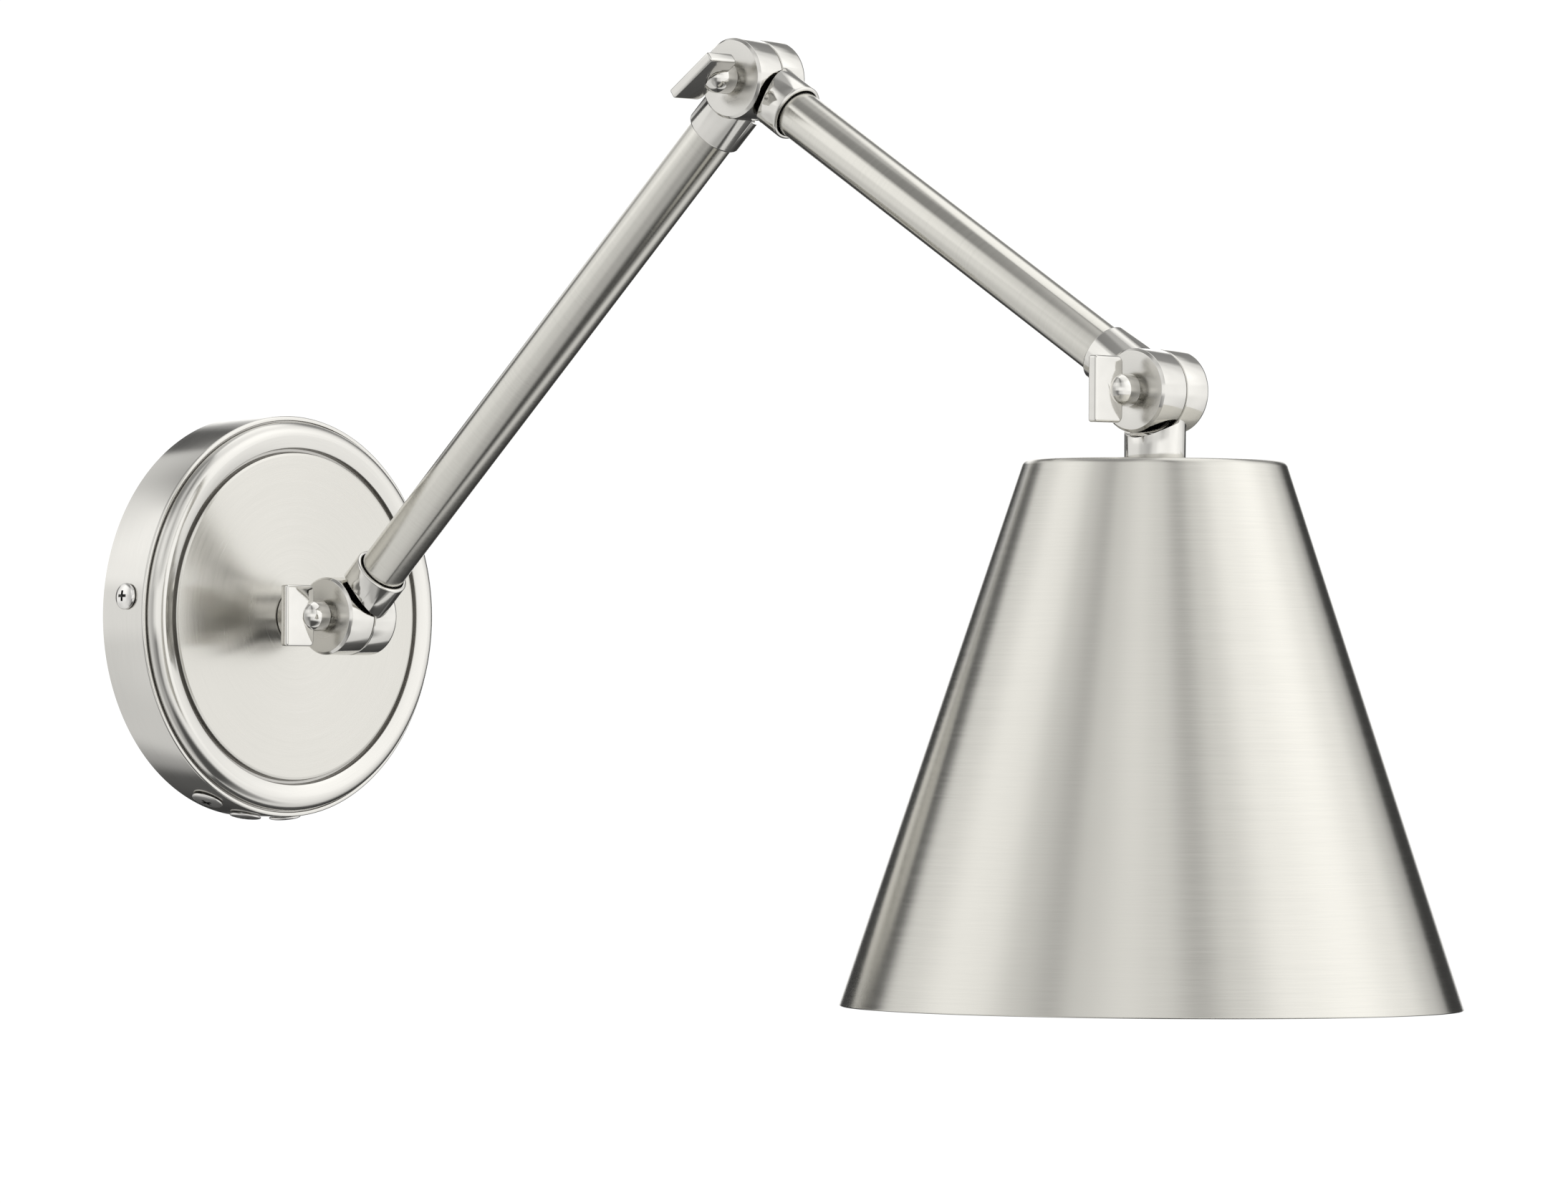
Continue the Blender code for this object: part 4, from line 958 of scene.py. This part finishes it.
def make_socket():
    cap_bottom = make_socket_cap()
    plug_radius = CAP_RADIUS - CAP_WALL - GAP
    plug_top = cap_bottom + PLUG_HEIGHT
    floor = -SOCKET_FLOOR_DROP
    bottom = -SOCKET_BOTTOM_DROP
    corners = [
        (0.0, plug_top, 0.0), (plug_radius, plug_top, 0.8 * MM), (plug_radius, cap_bottom - GAP, 0.2 * MM),
        (CAP_RADIUS, cap_bottom - GAP, 0.4 * MM), (SOCKET_RADIUS, cap_bottom - 2 * MM, 1.0 * MM),
        (SOCKET_RADIUS, bottom, 1.2 * MM), (SOCKET_BORE_RADIUS, bottom, 1.0 * MM),
        (SOCKET_BORE_RADIUS, floor, 0.8 * MM), (0.0, floor, 0.0),
    ]
    holder = lathe("holder_cast", rounded(corners, steps=5), HEAD_HINGE, UP, 128)
    finish(holder, "socket_body", "lamp_head", [PORCELAIN])
    make_screw_shell(floor - GAP, bottom + 2 * MM)
    make_contact(floor - GAP)


def make_screw_shell(top, bottom):
    """Thin shell with a rolled screw thread."""
    hole_radius = CONTACT_RADIUS + SHELL_CONTACT_SPACE
    floor_edge = SHELL_RADIUS - SHELL_CORNER
    thread_top = top - SHELL_CORNER
    rows = 90
    heights = [thread_top + (bottom - thread_top) * i / rows for i in range(rows + 1)]
    outer = [(hole_radius, top), (floor_edge, top)] + [(SHELL_RADIUS, z) for z in heights]
    inner = [(SHELL_RADIUS - SHELL_WALL, z) for z in reversed(heights)]
    inner += [(floor_edge, top - SHELL_WALL), (hole_radius, top - SHELL_WALL)]

    def rolled(radius, height, angle):
        if radius < SHELL_RADIUS - 1.2 * SHELL_WALL:
            return radius
        fade = min((thread_top - height) / SHELL_PITCH, (height - bottom) / SHELL_PITCH, 1.0)
        wave = 0.5 - 0.5 * math.cos(math.tau * (height / SHELL_PITCH - angle / math.tau))
        return radius - SHELL_THREAD * wave * max(fade, 0.0)

    shell = lathe("shell_rolled", outer + inner, HEAD_HINGE, UP, 96, closed=True, thread=rolled)
    finish(shell, "screw_shell", "lamp_head", [BRASS])


def make_contact(top):
    foot = CONTACT_FOOT
    tip = CONTACT_HEIGHT
    corners = [(0.0, top, 0.0), (CONTACT_RADIUS, top, 0.15 * MM), (CONTACT_RADIUS, top - foot, 0.25 * MM),
               (0.8 * CONTACT_RADIUS, top - foot, 0.3 * MM), (0.65 * CONTACT_RADIUS, top - tip, 0.6 * MM),
               (0.0, top - tip, 0.0)]
    contact = lathe("contact_pressed", rounded(corners, steps=5), HEAD_HINGE, UP, 48)
    finish(contact, "centre_contact", "lamp_head", [BRASS])


# ---------------------------------------------------------------- studio

CAMERA_AZIMUTH = math.radians(-46.894)
CAMERA_ELEVATION = math.radians(-0.568)
CAMERA_ROLL = math.radians(0.416)
CAMERA_PLACE = Vector((-1.97203, -2.07832, -0.02529))
FLOOR_RADIUS = 7.0
FLOOR_DROP = 0.9


def make_camera():
    """Long lens from the left front, almost level with the lamp."""
    data = bpy.data.cameras.new("camera")
    data.lens = 206.4
    data.sensor_width = 36.0
    data.shift_y = 0.0059
    data.clip_start = 0.1
    data.clip_end = 60.0
    camera = link(bpy.data.objects.new("camera", data))
    a, e = CAMERA_AZIMUTH, CAMERA_ELEVATION
    back = Vector((math.sin(a) * math.cos(e), -math.cos(a) * math.cos(e), math.sin(e)))
    level = Vector((math.cos(a), math.sin(a), 0.0))
    above = back.cross(level)
    right = level * math.cos(CAMERA_ROLL) + above * math.sin(CAMERA_ROLL)
    up = above * math.cos(CAMERA_ROLL) - level * math.sin(CAMERA_ROLL)
    turn = Matrix((right, up, back)).transposed()
    camera.matrix_world = Matrix.Translation(CAMERA_PLACE) @ turn.to_4x4()
    bpy.context.scene.camera = camera


def ramp_node(tree, value, stops, interpolation="EASE"):
    """A value curve from (position, brightness) stops."""
    node = add_node(tree, "ShaderNodeValToRGB")
    ramp = node.color_ramp
    ramp.interpolation = interpolation
    while len(ramp.elements) < len(stops):
        ramp.elements.new(0.5)
    for element, (position, level) in zip(ramp.elements, stops):
        element.position = position
        element.color = (level, level, level, 1.0)
    tree.links.new(value, node.inputs[0])
    return node.outputs[0]


PANEL_PEAK = 1.6  # the ramp's white, as a multiple of the backdrop's brightness

# The studio, as rings one above the other. Each has the two elevations between which it
# holds alone, then its levels by the angle from the camera, + to the right, in degrees.
FLOOR_RING = (-90, -42, [
    (-180, 0.10), (-146, 0.12), (-132, 0.45), (-116, 0.82), (-60, 0.85), (-38, 0.55), (-18, 0.55), (0, 0.22),
    (12, 0.10), (66, 0.10), (88, 0.35), (108, 0.92), (124, 0.85), (134, 0.16), (146, 0.10), (180, 0.06),
])
LOW_RING = (-28, -12, [
    (-180, 0.05), (-152, 0.06), (-141, 0.45), (-125, 0.80), (-110, 0.76), (-80, 0.90), (-50, 0.78),
    (-30, 0.50), (-5, 0.25), (15, 0.90), (40, 1.15), (95, 1.15), (120, 0.85), (134, 0.35),
    (143, 0.05), (180, 0.05),
])
WALL_RING = (-4, 10, [
    (-180, 1.50), (-174, 1.10), (-168, 0.05), (-149, 0.04), (-146, 0.45), (-141, 0.36),
    (-138, 0.04), (-126, 0.05), (-121, 1.00), (-100, 1.00), (-75, 1.00), (-55, 0.72),
    (-30, 0.60), (-8, 1.00), (10, 1.25), (40, 1.20), (75, 1.35), (112, 1.15), (130, 0.80),
    (139, 0.60), (142, 0.05), (163, 0.05), (168, 0.85), (174, 1.40), (180, 1.50),
])
BRIM_RING = (15, 20, [
    (-180, 1.50), (-162, 1.30), (-146, 0.80), (-137, 0.12), (-127, 0.20), (-120, 0.90),
    (-112, 0.95), (-90, 1.25), (-75, 1.20), (-58, 0.88), (-44, 0.64), (-33, 0.80),
    (-12, 0.95), (2, 0.95), (18, 0.80), (33, 0.95), (58, 1.27), (90, 1.42), (112, 1.20),
    (130, 0.80), (143, 0.15), (160, 0.10), (170, 1.40), (180, 1.50),
])
HIGH_RING = (27, 42, [
    (-180, 0.90), (-173, 0.50), (-165, 0.12), (-152, 0.12), (-146, 0.85), (-127, 0.85),
    (-110, 1.05), (-90, 1.30), (-75, 1.22), (-58, 0.88), (-44, 0.66), (-33, 0.98),
    (-12, 1.14), (2, 0.98), (18, 0.60), (33, 0.92), (58, 1.32), (90, 1.52), (112, 1.22),
    (128, 0.90), (139, 0.35), (172, 0.28), (180, 0.40),
])
CEILING_RING = (54, 90, [
    (-180, 0.60), (-145, 0.60), (-110, 0.36), (-70, 0.30), (-42, 0.42), (-20, 0.80), (0, 0.70),
    (20, 0.25), (38, 0.70), (62, 1.10), (105, 1.20), (140, 1.40), (165, 1.40), (180, 0.80),
])
RINGS = (FLOOR_RING, LOW_RING, WALL_RING, BRIM_RING, HIGH_RING, CEILING_RING)


def make_world():
    """White backdrop for the camera; panels and flags of the studio for the metal."""
    world = bpy.data.worlds.new("studio")
    world.use_nodes = True
    bpy.context.scene.world = world
    tree = world.node_tree
    tree.nodes.clear()
    direction = add_node(tree, "ShaderNodeTexCoord").outputs["Generated"]
    parts = add_node(tree, "ShaderNodeSeparateXYZ")
    tree.links.new(direction, parts.inputs[0])
    x, y, z = parts.outputs
    a = CAMERA_AZIMUTH
    to_right = math_node(tree, "ADD", math_node(tree, "MULTIPLY", x, math.cos(a)),
                         math_node(tree, "MULTIPLY", y, math.sin(a)))
    to_camera = math_node(tree, "SUBTRACT", math_node(tree, "MULTIPLY", x, math.sin(a)),
                          math_node(tree, "MULTIPLY", y, math.cos(a)))
    angle = math_node(tree, "ARCTAN2", to_right, to_camera)
    turn = math_node(tree, "ADD", math_node(tree, "DIVIDE", angle, math.tau), 0.5)
    height = math_node(tree, "ARCSINE", z)
    last_top = None
    for bottom, top, levels in RINGS:
        stops = [((degrees + 180) / 360, level / PANEL_PEAK) for degrees, level in levels]
        ring = math_node(tree, "MULTIPLY", ramp_node(tree, turn, stops), PANEL_PEAK)
        if last_top is None:
            lit = ring
        else:
            share = spread(tree, height, 0.0, 1.0, math.radians(last_top), math.radians(bottom))
            lit = mix_levels(tree, lit, ring, share)
        last_top = top
    path = add_node(tree, "ShaderNodeLightPath")
    seen = add_node(tree, "ShaderNodeBackground", {"Color": (1.0, 1.0, 1.0, 1.0), "Strength": 1.05})
    studio = add_node(tree, "ShaderNodeBackground", {"Color": (1.0, 0.995, 0.985, 1.0)})
    tree.links.new(lit, studio.inputs["Strength"])
    mix = add_node(tree, "ShaderNodeMixShader")
    tree.links.new(path.outputs["Is Camera Ray"], mix.inputs[0])
    tree.links.new(studio.outputs[0], mix.inputs[1])
    tree.links.new(seen.outputs[0], mix.inputs[2])
    output = add_node(tree, "ShaderNodeOutputWorld")
    tree.links.new(mix.outputs[0], output.inputs["Surface"])


def mix_levels(tree, first, second, share):
    """first where share is 0, second where it is 1."""
    kept = math_node(tree, "MULTIPLY", first, math_node(tree, "SUBTRACT", 1.0, share))
    return math_node(tree, "ADD", kept, math_node(tree, "MULTIPLY", second, share))


def make_floor():
    """Plain pale floor, well below the lamp, seen only from above."""
    bm = bmesh.new()
    bmesh.ops.create_circle(bm, cap_ends=True, segments=96, radius=FLOOR_RADIUS)
    mesh = bpy.data.meshes.new("floor")
    bm.to_mesh(mesh)
    bm.free()
    floor = link(bpy.data.objects.new("floor", mesh))
    floor.location = (0.0, 0.0, -FLOOR_DROP)
    material, tree, shader = new_material("floor_paper")
    place, _ = object_xyz(tree)
    cloud = noise(tree, place, 3.0, 2.0, 0.5)
    tinted(tree, shader, (0.93, 0.93, 0.925), spread(tree, cloud, 0.99, 1.01))
    shader.inputs["Roughness"].default_value = 0.9
    clear = add_node(tree, "ShaderNodeBsdfTransparent")
    back = add_node(tree, "ShaderNodeNewGeometry").outputs["Backfacing"]
    mix = add_node(tree, "ShaderNodeMixShader")
    tree.links.new(back, mix.inputs[0])
    tree.links.new(shader.outputs[0], mix.inputs[1])
    tree.links.new(clear.outputs[0], mix.inputs[2])
    tree.links.new(mix.outputs[0], tree.nodes["Material Output"].inputs["Surface"])
    mesh.materials.append(material)
    floor.visible_glossy = False


# ---------------------------------------------------------------- assembly

def make_swivels():
    stub_shoulder = -LOWER_HINGE.y - CANOPY_FACE_HEIGHT - GAP
    neck_shoulder = HEAD_HINGE.z - SHADE_TOP - GAP
    make_shank_half("stub_swivel", LOWER_HINGE, NEAR, INTO_WALL, stub_shoulder, STUB_SHANK_LENGTH, "base")
    make_cup_half("lower_arm_swivel", LOWER_HINGE, FAR, LOWER_DIRECTION, "lower_arm")
    make_cup_half("elbow_near_swivel", ELBOW_HINGE, NEAR, -LOWER_DIRECTION, "lower_arm")
    make_cup_half("elbow_far_swivel", ELBOW_HINGE, FAR, UPPER_DIRECTION, "upper_arm")
    make_cup_half("head_near_swivel", HEAD_HINGE, NEAR, -UPPER_DIRECTION, "upper_arm")
    make_shank_half(
        "shade_neck_swivel", HEAD_HINGE, FAR, DOWN, neck_shoulder, NECK_SHANK_LENGTH, "lamp_head"
    )


def dress_cad_nodes():
    """Finishes for the hidden CAD nodes that stay as they are."""
    looks = {
        "lower_friction_ring": FIBRE, "elbow_friction_ring": FIBRE, "head_friction_ring": FIBRE,
        "lower_lead": JACKET, "upper_lead": JACKET,
    }
    for node, material in looks.items():
        mesh = frame["nodes"][node].data
        mesh.materials.clear()
        mesh.materials.append(material)


make_camera()
make_world()
make_floor()
make_canopy()
make_canopy_screws()
make_crossbar()
make_swivels()
make_key("lower_key", LOWER_HINGE, 0.0, "lower_thumb_key")
make_key("elbow_key", ELBOW_HINGE, ELBOW_KEY_TURN, "elbow_thumb_key")
make_key("head_key", HEAD_HINGE, 0.0, "head_thumb_key")
make_tube("lower_tube", LOWER_HINGE, LOWER_DIRECTION, LOWER_LENGTH, "lower_arm")
make_tube("upper_tube", ELBOW_HINGE, UPPER_DIRECTION, UPPER_LENGTH, "upper_arm")
make_nut_and_washer("stub", OUT * (CANOPY_FACE_HEIGHT - CANOPY_WALL), INTO_WALL, "base")
make_nut_and_washer(
    "neck", Vector((0.0, HEAD_HINGE.y, SHADE_TOP - SHADE_WALL - GAP - CAP_WALL)), DOWN, "lamp_head"
)
make_shade()
make_socket()
dress_cad_nodes()

bpy.context.scene.view_settings.view_transform = "Standard"
